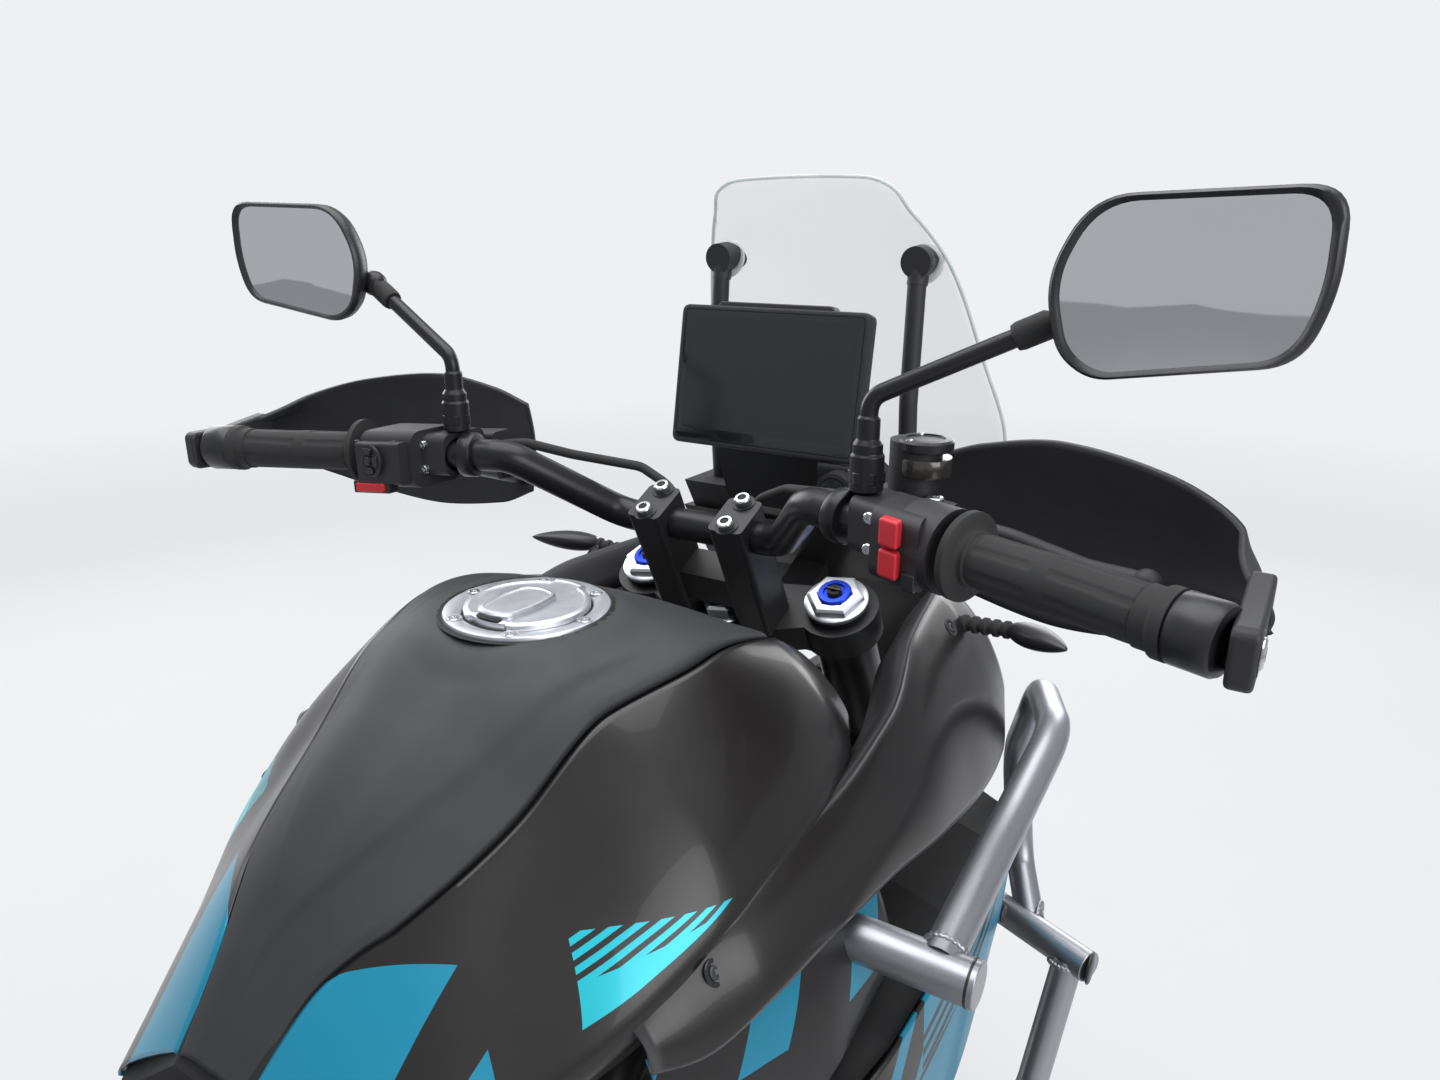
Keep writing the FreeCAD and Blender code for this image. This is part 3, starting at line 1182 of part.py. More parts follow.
ringLow = 1064 + size.seat_gap
ringTop = 1108.0
lidRadius = size.fuel_cap_radius - 14
fillerRing = [rod(vec(size.fuel_cap_x, 0, ringLow), vec(size.fuel_cap_x, 0, ringTop), size.fuel_cap_radius),
              rod(vec(size.fuel_cap_x, 0, 1012), vec(size.fuel_cap_x, 0, ringLow), size.filler_radius + 3)]
fillerRing = merged(fillerRing).cut([
    rod(vec(size.fuel_cap_x, 0, ringTop - 12), vec(size.fuel_cap_x, 0, ringTop + 2), lidRadius + 1.5),
    rod(vec(size.fuel_cap_x, 0, 1018), vec(size.fuel_cap_x, 0, ringTop + 2), size.filler_radius),
    block(vec(size.fuel_cap_x + 30, -13, ringTop - 6), vec(size.fuel_cap_x + 58, 13, ringTop + 2))])
feature("filler_ring", fillerRing)
lidHinge = vec(size.fuel_cap_x + 52, 0, ringTop + 1)
lidDisc = rod(vec(size.fuel_cap_x, 0, ringTop - 11), vec(size.fuel_cap_x, 0, ringTop + 3), lidRadius)
lidTongue = block(vec(size.fuel_cap_x + 34, -11, ringTop - 2), vec(size.fuel_cap_x + 50, 11, ringTop + 3))
lidBarrel = rod(lidHinge + vec(0, -11, 0), lidHinge + vec(0, 11, 0), 3.5)
lidLatch = block(vec(size.fuel_cap_x - 30, -14, ringTop + 3), vec(size.fuel_cap_x + 12, 14, ringTop + 7))
feature("fuel_cap_lid", merged([lidDisc, lidTongue, lidBarrel, lidLatch]))


# Body panels round the tank

spineSide = [(296, 98), (228, 128), (150, 129), (63, 107), (-11, 90), (-74, 66), (-90, 54), (-116, 40), (-158, 28)]
spineOutline = spineSide + [(x, -y) for x, y in reversed(spineSide)]
spinePrism = Part.Face(closedWire([vec(x, y, 850) for x, y in spineOutline])).extrude(vec(0, 0, 400))
outerTank = tankBody(size.tank_skin, True)
innerTank = tankBody(size.seat_gap)
skin = outerTank.cut([innerTank, capRoom])
spineCover = skin.common(spinePrism)
feature("tank_cover", max(spineCover.Solids, key=lambda solid: solid.Volume))

sidePrism = Part.Face(closedWire([vec(x, 0, z) for x, z in (
    (290, 1100), (286, 985), (150, 940), (0, 912), (-120, 862), (-155, 880), (-80, 1040), (60, 1130))]))
sidePrism = sidePrism.extrude(vec(0, 400, 0))
sidePanel = skin.common(sidePrism)
sidePanel = max(sidePanel.cut(spinePrism).Solids, key=lambda solid: solid.Volume)
feature("tank_panels", pair(sidePanel))

fairingStations = [
    (566, 158, 1016, 226, 912), (490, 172, 1034, 250, 886), (390, 186, 1034, 258, 892),
    (290, 212, 1004, 258, 906), (200, 226, 968, 252, 924),
]


def fairingWire(x, topY, topZ, lowY, lowZ):
    across = vec(0, lowY - topY, lowZ - topZ).normalize()
    out = vec(0, -across.z, across.y)
    top = vec(x, topY, topZ)
    low = vec(x, lowY, lowZ)
    middle = (top + low) * 0.5
    return closedWire([top, middle + out * 10, low, low - out * 6, middle + out * 4, top - out * 6])


sideFairing = loft([fairingWire(*station) for station in fairingStations])
feature("side_fairings", pair(sideFairing))

# Lower tank shells with their side panels
lobeStations = [(505, 190, 258, 744, 846), (410, 172, 276, 730, 866), (290, 166, 284, 664, 868),
                (160, 166, 278, 632, 852), (40, 168, 240, 690, 806)]


def lobeWire(x, inner, outer, low, high, grow=0.0):
    return closedWire([vec(x, inner, low), vec(x, outer + grow, low + 18), vec(x, outer + grow, high - 30),
                       vec(x, inner, high)], 0)


lobe = loft([lobeWire(*station) for station in lobeStations])
feature("tank_lobes", pair(lobe))
lobeSkin = loft([lobeWire(*station, grow=6.0) for station in lobeStations])
lobeInner = loft([lobeWire(*station, grow=size.seat_gap) for station in lobeStations])
lobePanel = lobeSkin.cut(lobeInner)
lobeCut = Part.Face(closedWire([vec(x, 0, z) for x, z in (
    (502, 838), (502, 756), (410, 744), (290, 678), (160, 646), (50, 706), (60, 780), (160, 822), (290, 838),
    (410, 842))])).extrude(vec(0, 400, 0))
lobePanel = max(lobePanel.common(lobeCut).Solids, key=lambda solid: solid.Volume)
feature("lower_panels", pair(lobePanel))


# Front fairing, headlight, screen and display

def noseWire(z, back, front, half):
    return closedWire([vec(back, half, z), vec(front - 60, half * 0.86, z), vec(front, half * 0.36, z),
                       vec(front, -half * 0.36, z), vec(front - 60, -half * 0.86, z), vec(back, -half, z)])


nose = loft([noseWire(1062, 536, 722, 148), noseWire(1000, 574, 758, 142), noseWire(930, 608, 770, 124),
             noseWire(866, 642, 748, 92)])
lampRoom = block(vec(724, -66, 890), vec(800, 66, 1006))
nose = nose.cut([lampRoom, stayRoom])
lampBody = block(vec(724 + size.seat_gap, -64, 892), vec(752, 64, 1004))
lenses = []
for y in (32, -32):
    for z in (924, 974):
        lenses.append(rod(vec(752, y, z), vec(764, y, z), 22))
feature("headlight", merged([lampBody, *lenses]))
beakWires = []
for x, half, z, thick in ((652, 66, 842, 18), (760, 60, 838, 14), (860, 42, 820, 10), (930, 20, 800, 8)):
    beakWires.append(closedWire([vec(x, half, z - 14), vec(x, half * 0.5, z), vec(x, -half * 0.5, z),
                                 vec(x, -half, z - 14), vec(x, -half + 4, z - 14 - thick * 0.5),
                                 vec(x, -half * 0.5, z - thick), vec(x, half * 0.5, z - thick),
                                 vec(x, half - 4, z - 14 - thick * 0.5)]))
beak = loft(beakWires)
beakPost = block(vec(676, -26, 838), vec(724, 26, 868))
beak = merged([beak, beakPost.cut(nose)])
feature("nose_fairing", merged([nose, beak]))

screenLevels = [(1412, 105, 524, 509), (1333, 136, 600, 574), (1240, 160, 655, 616), (1153, 180, 698, 650),
                (1068, 152, 734, 682)]


def screenWire(z, half, middle, edge):
    wall = size.screen_thickness
    front = Part.Arc(vec(edge, half, z), vec(middle, 0, z), vec(edge, -half, z)).toShape()
    rear = Part.Arc(vec(edge - wall, -half, z), vec(middle - wall, 0, z), vec(edge - wall, half, z)).toShape()
    right = Part.LineSegment(vec(edge, -half, z), vec(edge - wall, -half, z)).toShape()
    left = Part.LineSegment(vec(edge - wall, half, z), vec(edge, half, z)).toShape()
    return Part.Wire([front, right, rear, left])


windscreen = loft([screenWire(*level) for level in screenLevels])
feature("windscreen", windscreen)

screenArms = []
for side in (1, -1):
    arm = tube([vec(560, side * 111, 1064), vec(548, side * 111, 1200), vec(556, side * 110, 1322)], 9, 60)
    knob = rod(vec(548, side * 110, 1333), vec(596, side * 110, 1337), 15)
    neck = rod(vec(556, side * 110, 1312), vec(560, side * 110, 1334), 10)
    screenArms.append(max(merged([arm, knob, neck]).cut(windscreen).Solids, key=lambda solid: solid.Volume))
feature("screen_arms", Part.makeCompound(screenArms))

displayLow = vec(447, 0, 1157)
displayHigh = vec(471, 0, 1292)
displayUp = (displayHigh - displayLow).normalize()
displayOut = vec(displayUp.z, 0, -displayUp.x)


def displayPlate(near, far, inset):
    half = 102 - inset
    low = displayLow + displayUp * inset + displayOut * near
    high = displayHigh - displayUp * inset + displayOut * near
    wire = closedWire([vec(low.x, -half, low.z), vec(low.x, half, low.z), vec(high.x, half, high.z),
                       vec(high.x, -half, high.z)], 9)
    return Part.Face(wire).extrude(displayOut * (far - near))


feature("display", merged([displayPlate(0, 22, 0), displayPlate(22, 34, 24)]))
dashPanel = [
    slab([(508, 1084), (476, 1160), (490, 1250), (512, 1250), (512, 1160), (560, 1110), (644, 1110), (650, 1064),
          (540, 1064)], -70, 70),
    slab([(540, 1062.3), (520, 1096), (640, 1096), (656, 1062.3)], -136, 136)]
dashRoom = displayPlate(-10, 34 + size.seat_gap, -2)
armRoom = [tube([vec(561, side * 111, 1052.5), vec(548, side * 111, 1200), vec(556, side * 110, 1322)],
                9 + size.seat_gap, 60) for side in (1, -1)]
dash = merged(dashPanel).cut([dashRoom, *armRoom])
keyPod = slab([(452, 1116), (446, 1156), (478, 1160), (512, 1140), (512, 1110), (470, 1098)], -114, -64, 6)
keyRing = rod(vec(449, -88, 1134), vec(436, -88, 1132), 17)
feature("dash_panel", merged([dash, merged([keyPod, keyRing]).cut(dashRoom)]))


# Crash bars

crashRadius = size.crash_bar_radius
crashHalf = size.crash_bar_half_width
crashBars = []
sparFat = [tube([vec(322, side * 94, 922), vec(156, side * 128, 900), vec(-60, side * 134, 762)],
                frameRadius + size.seat_gap, 60) for side in (1, -1)]
for side in (1, -1):
    stub = rod(vec(156, side * 128, 903), vec(156, side * crashHalf, 903), size.crash_stub_radius)
    upper = tube([vec(158, side * (crashHalf - 22), 908), vec(392, side * (crashHalf - 14), 972),
                  vec(524, side * 272, 944), vec(566, side * 244, 850), vec(548, side * 262, 740),
                  vec(500, side * 290, 704)], crashRadius, 34)
    lowStub = rod(vec(512, side * 240, 703), vec(462, side * 356, 703), crashRadius + 1)
    lower = tube([vec(467, side * 336, 700), vec(420, side * 322, 560), vec(372, side * 240, 468),
                  vec(302, side * 136, 446)], crashRadius, 50)
    crashBars.append(merged([stub, upper, lowStub, lower]))
lowBosses = [rod(vec(290, side * 117, 440), vec(290, side * 136, 440), 20 + size.seat_gap) for side in (1, -1)]
crashCuts = [*sparFat, *downTubes, *lowBosses]
crashCut = [max(bar.cut(crashCuts).Solids, key=lambda solid: solid.Volume) for bar in crashBars]
crashCaps = []
for side in (1, -1):
    crashCaps.append(rod(vec(156, side * (crashHalf + 0.01), 903), vec(156, side * (crashHalf + 7), 903), 17))
feature("crash_bars", Part.makeCompound([merged([bar, cap]) for bar, cap in zip(crashCut, crashCaps)]))


# Seats, tail and rear rack

def seatWire(x, half, low, high):
    shoulder = low + (high - low) * 0.45
    return closedWire([vec(x, half, low), vec(x, half, shoulder), vec(x, half * 0.62, high),
                       vec(x, -half * 0.62, high), vec(x, -half, shoulder), vec(x, -half, low)],
                      radii=[0, 8, 24, 24, 8, 0])


seatTop = size.seat_height
riderSeat = loft([seatWire(-176, 84, 812, seatTop + 24), seatWire(-270, 112, 817, seatTop - 2),
                  seatWire(-380, 142, 829, seatTop + 2), seatWire(-470, 150, 843, seatTop + 12)])
pillionSeat = loft([seatWire(-476, 148, 872, seatTop + 46), seatWire(-600, 140, 882, seatTop + 62),
                    seatWire(-740, 112, 904, seatTop + 66)])

tailPanel = slab([(-168, 804), (-300, 808), (-470, 834), (-860, 900), (-886, 876), (-640, 796), (-330, 716),
                  (-190, 736)], 130, 136, 10)
tailDeck = slab([(-478, 871.7), (-600, 881.7), (-738, 903.7), (-762, 884), (-740, 866), (-600, 846),
                 (-478, 838)], -124, 124)
tailUnit = slab([(-640, 820), (-880, 846), (-906, 872), (-880, 902), (-770, 900), (-700, 872), (-640, 868)],
                -58, 58, 6)
subRooms = [tube([vec(-96, side * 112, 790), vec(-300, side * 112, 806), vec(-620, side * 100, 852),
                  vec(-880, side * 62, 884)], subRadius + size.seat_gap, 60) for side in (1, -1)]
crossRooms = [rod(vec(-660, -94, 858), vec(-660, 94, 858), 10 + size.seat_gap),
              rod(vec(-866, -62, 882.5), vec(-866, 62, 882.5), 10 + size.seat_gap)]
rackStays = [rod(vec(-500, side * 166, 866), vec(-500, side * 112, 842), 8 + size.seat_gap) for side in (1, -1)]
rackStays += [rod(vec(-800, side * 72, 960), vec(-800, side * 76, 882), 9 + size.seat_gap) for side in (1, -1)]
rackStays += [tube([vec(-500, side * 166, 860), vec(-520, side * 172, 930), vec(-700, side * 150, 958)],
                   10 + size.seat_gap, 30) for side in (1, -1)]
feature("rider_seat", riderSeat.cut(subRooms))
feature("pillion_seat", pillionSeat.cut([*rackStays, tailDeck]))
tailLight = slab([(-896, 862), (-890, 884), (-880, 904), (-900, 906), (-922, 880), (-914, 862)], -52, 52, 2)
rackPlate = block(vec(-940, -82, 962), vec(-760, 82, 970))
rackHoles = []
for dx in (-60, 60):
    for dy in (-50, 50):
        rackHoles.append(rod(vec(-850 + dx, dy, 950), vec(-850 + dx, dy, 980), 4.25))
rackWindow = block(vec(-884, -26, 950), vec(-816, 26, 980))
rackTubes = []
for side in (1, -1):
    rackTubes.append(tube([vec(-500, side * 166, 860), vec(-520, side * 172, 930), vec(-700, side * 150, 958),
                           vec(-800, side * 76, 958)], 10, 30))
    rackTubes.append(rod(vec(-500, side * 166, 866), vec(-500, side * 112, 842), 8))
    rackTubes.append(rod(vec(-800, side * 72, 960), vec(-800, side * 76, 882), 9))
rack = merged([rackPlate, *rackTubes]).cut([*rackHoles, rackWindow, *subRooms])
feature("rear_rack", rack)

plateHanger = slab([(-862, 856), (-902, 868), (-926, 838), (-1098, 650), (-1120, 618), (-1120, 556), (-1112, 556),
                    (-1112, 612), (-1090, 640), (-960, 776), (-884, 800)], -62, 62)
plateHoles = [rod(vec(-1140, y, 600), vec(-1100, y, 600), 3.5) for y in (-45, 45)]
tailBlock = merged([tailUnit, tailDeck]).cut([*subRooms, *crossRooms, *rackStays])
tailPanels = [panel.cut(rackStays) for panel in (tailPanel, mirrored(tailPanel))]
hangerPlate = plateHanger.cut([*plateHoles, *subRooms, *crossRooms])
feature("tail_unit", Part.makeCompound([merged([tailBlock, hangerPlate]), *tailPanels]))
feature("tail_light", tailLight.cut([tailUnit, plateHanger]))
rearSignals = []
frontSignals = []
for side in (1, -1):
    stalk = rod(vec(-962, side * 40, 786), vec(-968, side * 104, 790), 7)
    lens = cone(vec(-966, side * 100, 790), vec(-974, side * 176, 794), 14, 9)
    rearSignals.append(merged([stalk, lens]))
    frontStalk = rod(vec(508, side * 176, 1000), vec(500, side * 256, 1008), 8)
    frontLens = cone(vec(502, side * 252, 1008), vec(452, side * 306, 1019), 15, 8)
    fairingSide = sideFairing if side == 1 else mirrored(sideFairing)
    frontSignals.append(max(merged([frontStalk, frontLens]).cut(fairingSide).Solids,
                            key=lambda solid: solid.Volume))
feature("turn_signals", Part.makeCompound([*frontSignals, *[signal.cut(plateHanger) for signal in rearSignals]]))


# Footpegs and pedals

pegs = []
for side in (1, -1):
    plateFace = side * (plateInner + 11 + size.seat_gap)
    bracket = slab([(-206, 330), (-128, 330), (-140, 392), (-190, 392)], plateFace, plateFace + side * 10, 6)
    peg = rod(vec(-166, plateFace + side * 8, 350), vec(-166, side * 268, 350), 11)
    pegTop = block(vec(-186, min(side * 196, side * 268), 354), vec(-146, max(side * 196, side * 268), 362))
    pegs.append(merged([bracket, peg, pegTop]))
feature("footpegs", Part.makeCompound(pegs))


# Centre stand and side stand

standPivot = vec(size.stand_pivot_x, 0, size.stand_pivot_z)
standRadius = size.stand_tube_radius
footX = size.stand_pivot_x + 18
footNear = swingOuter + 6
footFar = footNear + 42
standPieces = [rod(standPivot + lateral * -148, standPivot + lateral * 148, standRadius + 2)]
for side in (1, -1):
    standPieces.append(rod(vec(standPivot.x, side * 134, standPivot.z),
                           vec(footX, side * size.stand_foot_spread, 6), standRadius))
    standPieces.append(slab([(footX - 44, 0), (footX + 22, 0), (footX + 22, 10), (footX - 30, 10)],
                            side * footNear, side * footFar))
standFloor = block(vec(footX - 60, -200, -20), vec(footX + 60, 200, 0))
brace = rod(vec(standPivot.x + 4, -136, standPivot.z - 64), vec(standPivot.x + 4, 136, standPivot.z - 64), 9)
tang = tube([vec(footX, size.stand_foot_spread, 52), vec(footX - 20, 236, 56), vec(footX - 46, 248, 58)], 7, 14)
standCut = rod(standPivot + lateral * -160, standPivot + lateral * 160, 8 + size.running_clearance)
centreStand = merged([*standPieces, brace, tang]).cut([standCut, standFloor])
feature("centre_stand", centreStand)
standBolt = rod(standPivot + lateral * -(plateInner + 14), standPivot + lateral * (plateInner + 14), 8)
feature("chassis_bolts", Part.makeCompound([pivotBolt, merged(rearAxlePieces), standBolt]))

sideLeg = rod(sidePivot, sidePivot + sideFolded * 262, 11)
sideUp = FreeCAD.Rotation(sideOut, sideSwing).multVec(vec(0, 0, 1))
sideEnd = sidePivot + sideFolded * 262
sideFoot = rod(sideEnd - sideUp * 4, sideEnd + sideUp * 4, 22)
sideHead = rod(sidePivot - sideOut * sideHeadHalf, sidePivot + sideOut * sideHeadHalf, 16)
sideHole = rod(sidePivot - sideOut * 12, sidePivot + sideOut * 12, sidePinRadius + size.running_clearance)
feature("side_stand", merged([sideLeg, sideHead, sideFoot]).cut(sideHole))


# Check every object, then write the sub-parts

doc.recompute()
for item in doc.Objects:
    if "Invalid" in item.State or "Error" in item.State:
        raise RuntimeError("failed object " + item.Label)
for item in nodes:
    if item.Shape.isNull() or not item.Shape.isValid():
        raise RuntimeError("bad shape " + item.Label)
    if not item.Shape.Solids:
        raise RuntimeError("no solid in " + item.Label)
for item in nodes:
    item.Shape.exportStep(os.path.join("parts", item.Label + ".step"))
print("wrote", len(nodes), "sub-parts")
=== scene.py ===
import math

import bmesh
import bpy
import numpy as np
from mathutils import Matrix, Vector


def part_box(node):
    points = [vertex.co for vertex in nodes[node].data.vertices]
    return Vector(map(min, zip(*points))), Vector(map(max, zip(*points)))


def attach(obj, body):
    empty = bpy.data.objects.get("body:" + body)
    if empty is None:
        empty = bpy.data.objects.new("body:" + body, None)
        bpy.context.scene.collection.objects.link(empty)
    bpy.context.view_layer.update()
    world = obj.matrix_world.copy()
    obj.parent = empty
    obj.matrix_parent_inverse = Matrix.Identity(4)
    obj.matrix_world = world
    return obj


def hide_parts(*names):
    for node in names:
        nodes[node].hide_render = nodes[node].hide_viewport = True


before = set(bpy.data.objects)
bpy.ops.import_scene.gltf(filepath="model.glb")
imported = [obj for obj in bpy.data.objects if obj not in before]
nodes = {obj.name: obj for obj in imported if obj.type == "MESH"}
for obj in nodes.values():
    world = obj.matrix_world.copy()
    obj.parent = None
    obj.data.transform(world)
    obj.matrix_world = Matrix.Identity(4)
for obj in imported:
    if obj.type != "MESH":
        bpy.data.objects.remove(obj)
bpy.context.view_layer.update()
mm = 0.001
bothSides = ((1, "Left"), (-1, "Right"))


# Shader maths: a socket that takes part in Python expressions

class Signal:
    def __init__(self, tree, socket):
        self.tree = tree
        self.socket = socket

    def maths(self, operation, first, second):
        node = self.tree.nodes.new("ShaderNodeMath")
        node.operation = operation
        for place, value in enumerate((first, second)):
            if isinstance(value, Signal):
                self.tree.links.new(value.socket, node.inputs[place])
            elif value is not None:
                node.inputs[place].default_value = value
        return Signal(self.tree, node.outputs[0])

    def __add__(self, other):
        return self.maths("ADD", self, other)

    def __radd__(self, other):
        return self.maths("ADD", other, self)

    def __sub__(self, other):
        return self.maths("SUBTRACT", self, other)

    def __rsub__(self, other):
        return self.maths("SUBTRACT", other, self)

    def __mul__(self, other):
        return self.maths("MULTIPLY", self, other)

    def __rmul__(self, other):
        return self.maths("MULTIPLY", other, self)

    def __gt__(self, other):
        return self.maths("GREATER_THAN", self, other)

    def __abs__(self):
        return self.maths("ABSOLUTE", self, None)

    def pingpong(self, scale):
        return self.maths("PINGPONG", self, scale)

    def least(self, other):
        return self.maths("MINIMUM", self, other)

    def most(self, other):
        return self.maths("MAXIMUM", self, other)


class Finish:
    # a material with one Principled surface; add() makes any node, mix() blends colours
    def __init__(self, name, **settings):
        self.material = bpy.data.materials.new(name)
        self.material.use_nodes = True
        self.tree = self.material.node_tree
        self.surface = self.tree.nodes["Principled BSDF"]
        for socket, value in settings.items():
            self.set(socket.replace("_", " "), value)

    def add(self, kind, settings=None, **sockets):
        node = self.tree.nodes.new(kind)
        for key, value in (settings or {}).items():
            if key == "stops":
                ramp = node.color_ramp
                while len(ramp.elements) < len(value):
                    ramp.elements.new(0.5)
                for element, (place, shade) in zip(ramp.elements, value):
                    element.position = place
                    element.color = shade if len(shade) == 4 else (*shade, 1)
            else:
                setattr(node, key, value)
        for key, value in sockets.items():
            numbered = key[0] == "i" and key[1:].isdigit()
            target = node.inputs[int(key[1:]) if numbered else key.replace("_", " ")]
            if isinstance(value, Signal):
                self.tree.links.new(value.socket, target)
            else:
                target.default_value = value
        return node

    def out(self, node, name=0):
        return Signal(self.tree, node.outputs[name])

    def set(self, socket, value):
        target = self.surface.inputs[socket]
        if isinstance(value, Signal):
            self.tree.links.new(value.socket, target)
        elif hasattr(target.default_value, "__len__") and len(value) == 3 and len(target.default_value) == 4:
            target.default_value = (*value, 1)
        else:
            target.default_value = value
        return self

    def place(self):
        return self.out(self.add("ShaderNodeTexCoord"), "Object")

    def axes(self):
        split = self.add("ShaderNodeSeparateXYZ", None, Vector=self.place())
        return [self.out(split, index) for index in range(3)]

    def noise(self, scale, detail=4.0, rough=0.55, where=None, **more):
        node = self.add("ShaderNodeTexNoise", None, Vector=where or self.place(), Scale=scale, Detail=detail,
                        Roughness=rough, **more)
        return self.out(node, 0)

    def cells(self, scale, feature="F1", where=None, out=0):
        node = self.add("ShaderNodeTexVoronoi", {"feature": feature}, Vector=where or self.place(),
                        Scale=scale)
        return self.out(node, out)

    def ramp(self, value, *stops):
        return self.out(self.add("ShaderNodeValToRGB", {"stops": stops}, Fac=value), 0)

    def mix(self, amount, first, second):
        node = self.add("ShaderNodeMix", {"data_type": "RGBA"})
        for place, value in ((0, amount), (6, first), (7, second)):
            if isinstance(value, Signal):
                self.tree.links.new(value.socket, node.inputs[place])
            elif place:
                node.inputs[place].default_value = (*value, 1) if len(value) == 3 else value
            else:
                node.inputs[place].default_value = value
        return self.out(node, 2)

    def stretched(self, sx, sy, sz):
        return self.out(self.add("ShaderNodeMapping", None, Vector=self.place(), Scale=(sx, sy, sz)), 0)

    def bump(self, height, strength=0.3, distance=0.001):
        node = self.add("ShaderNodeBump", None, Strength=strength, Distance=distance, Height=height)
        return self.set("Normal", self.out(node, 0))

    def edgeHighlight(self, colour, edge, amount=0.35, width=14.0):
        # painted highlight: brighter colour on convex edges, from the surface's own curvature
        ridge = self.out(self.add("ShaderNodeNewGeometry"), "Pointiness")
        highlightMask = self.ramp(ridge, (0.52, (0, 0, 0)), (0.60, (1, 1, 1)))
        return self.mix(highlightMask * (self.noise(width) * amount), colour, edge)


finishes = {}


def mattPlastic(name, colour, rough=0.62, grain=900.0, height=0.12, patchy=0.25):
    made = Finish(name)
    tone = made.noise(22.0, 5.0)
    dark = [c * (1 - patchy) for c in colour]
    light = [min(1, c * (1 + patchy) + 0.004) for c in colour]
    made.set("Base Color", made.mix(tone, dark, light))
    made.set("Roughness", made.noise(60.0) * 0.10 + (rough - 0.05))
    made.bump(made.cells(grain) * 0.7 + made.noise(grain * 0.4) * 0.3, height, 0.0004)
    finishes[name] = made
    return made


def paintedMetal(name, colour, rough=0.38, metallic=0.0, flake=0.0, coat=0.0):
    made = Finish(name, Metallic=metallic)
    speck = made.noise(2600.0, 2.0)
    base = made.mix(made.noise(9.0, 4.0), [c * 0.9 for c in colour], [min(1, c * 1.1) for c in colour])
    if flake:
        base = made.mix(made.ramp(speck, (0.60, (0, 0, 0)), (0.72, (flake,) * 3)), base,
                        [min(1, c * 2.4 + 0.05) for c in colour])
    made.set("Base Color", base)
    made.set("Roughness", made.noise(45.0) * 0.12 + (rough - 0.06))
    made.set("Coat Weight", coat)
    made.set("Coat Roughness", 0.12)
    made.bump(made.noise(420.0, 3.0), 0.05, 0.0004)
    finishes[name] = made
    return made


def brightMetal(name, colour, rough=0.28, brush=(1, 1, 1), dirt=0.15, bumpy=0.06, scale=160.0):
    made = Finish(name, Metallic=1.0)
    lines = made.noise(scale, 5.0, 0.6, made.stretched(*brush))
    stain = made.noise(14.0, 6.0)
    made.set("Base Color", made.mix(made.ramp(stain, (0.45, (0, 0, 0)), (0.75, (dirt,) * 3)),
                                    made.mix(lines, [c * 0.86 for c in colour], colour),
                                    [c * 0.35 for c in colour]))
    made.set("Roughness", lines * 0.16 + (rough - 0.08))
    made.bump(lines, bumpy, 0.0006)
    finishes[name] = made
    return made


print("finishes")
mattPlastic("consoleMatt", (0.022, 0.023, 0.026), 0.60, 1500.0, 0.10)
mattPlastic("blackMould", (0.018, 0.018, 0.020), 0.55, 1100.0, 0.14)
mattPlastic("blackSmooth", (0.016, 0.016, 0.018), 0.36, 1600.0, 0.04)
mattPlastic("softRubber", (0.020, 0.020, 0.021), 0.78, 1300.0, 0.30)
mattPlastic("deepBlack", (0.008, 0.008, 0.009), 0.75, 700.0, 0.10)
paintedMetal("frameBlack", (0.020, 0.020, 0.022), 0.42, 0.1, 0.05)
paintedMetal("barBlack", (0.016, 0.016, 0.018), 0.34, 0.35)
paintedMetal("crashGrey", (0.36, 0.37, 0.40), 0.36, 0.85, 0.30)
paintedMetal("engineGrey", (0.060, 0.062, 0.066), 0.50, 0.55, 0.12)
paintedMetal("darkPanel", (0.040, 0.036, 0.034), 0.34, 0.30, 0.10, 0.25)
paintedMetal("redGloss", (0.55, 0.02, 0.035), 0.40)
paintedMetal("blueAnodised", (0.01, 0.05, 0.55), 0.30, 0.6)
brightMetal("silverCast", (0.72, 0.74, 0.78), 0.38, (1, 1, 1), 0.05)
brightMetal("brushedSteel", (0.62, 0.62, 0.64), 0.30, (1, 30, 1), 0.12)
brightMetal("boltSteel", (0.70, 0.71, 0.74), 0.24, (1, 1, 1), 0.10)
brightMetal("discSteel", (0.50, 0.50, 0.51), 0.30, (1, 1, 1), 0.25, 0.10, 260.0)
brightMetal("pipeSteel", (0.50, 0.44, 0.38), 0.30, (20, 1, 20), 0.35)
brightMetal("chainSteel", (0.30, 0.28, 0.25), 0.40, (1, 1, 1), 0.55, 0.2)
brightMetal("forkChrome", (0.75, 0.75, 0.76), 0.10, (1, 1, 40), 0.04)
brightMetal("alloyPlain", (0.52, 0.53, 0.55), 0.42, (1, 1, 1), 0.20)


def tyreFinish():
    made = Finish("tyreRubber")
    dust = made.noise(18.0, 6.0)
    made.set("Base Color", made.mix(dust, (0.014, 0.014, 0.014), (0.040, 0.038, 0.035)))
    made.set("Roughness", made.noise(40.0) * 0.15 + 0.72)
    made.bump(made.noise(380.0, 6.0), 0.25, 0.0008)
    finishes["tyreRubber"] = made


def seatFinish():
    made = Finish("seatCover")
    made.set("Base Color", made.mix(made.noise(12.0), (0.014, 0.014, 0.015), (0.030, 0.030, 0.032)))
    made.set("Roughness", made.noise(80.0) * 0.1 + 0.62)
    made.surface.inputs["Sheen Weight"].default_value = 0.25
    pebble = made.cells(620.0, "F1")
    made.bump(pebble, 0.35, 0.0007)
    finishes["seatCover"] = made


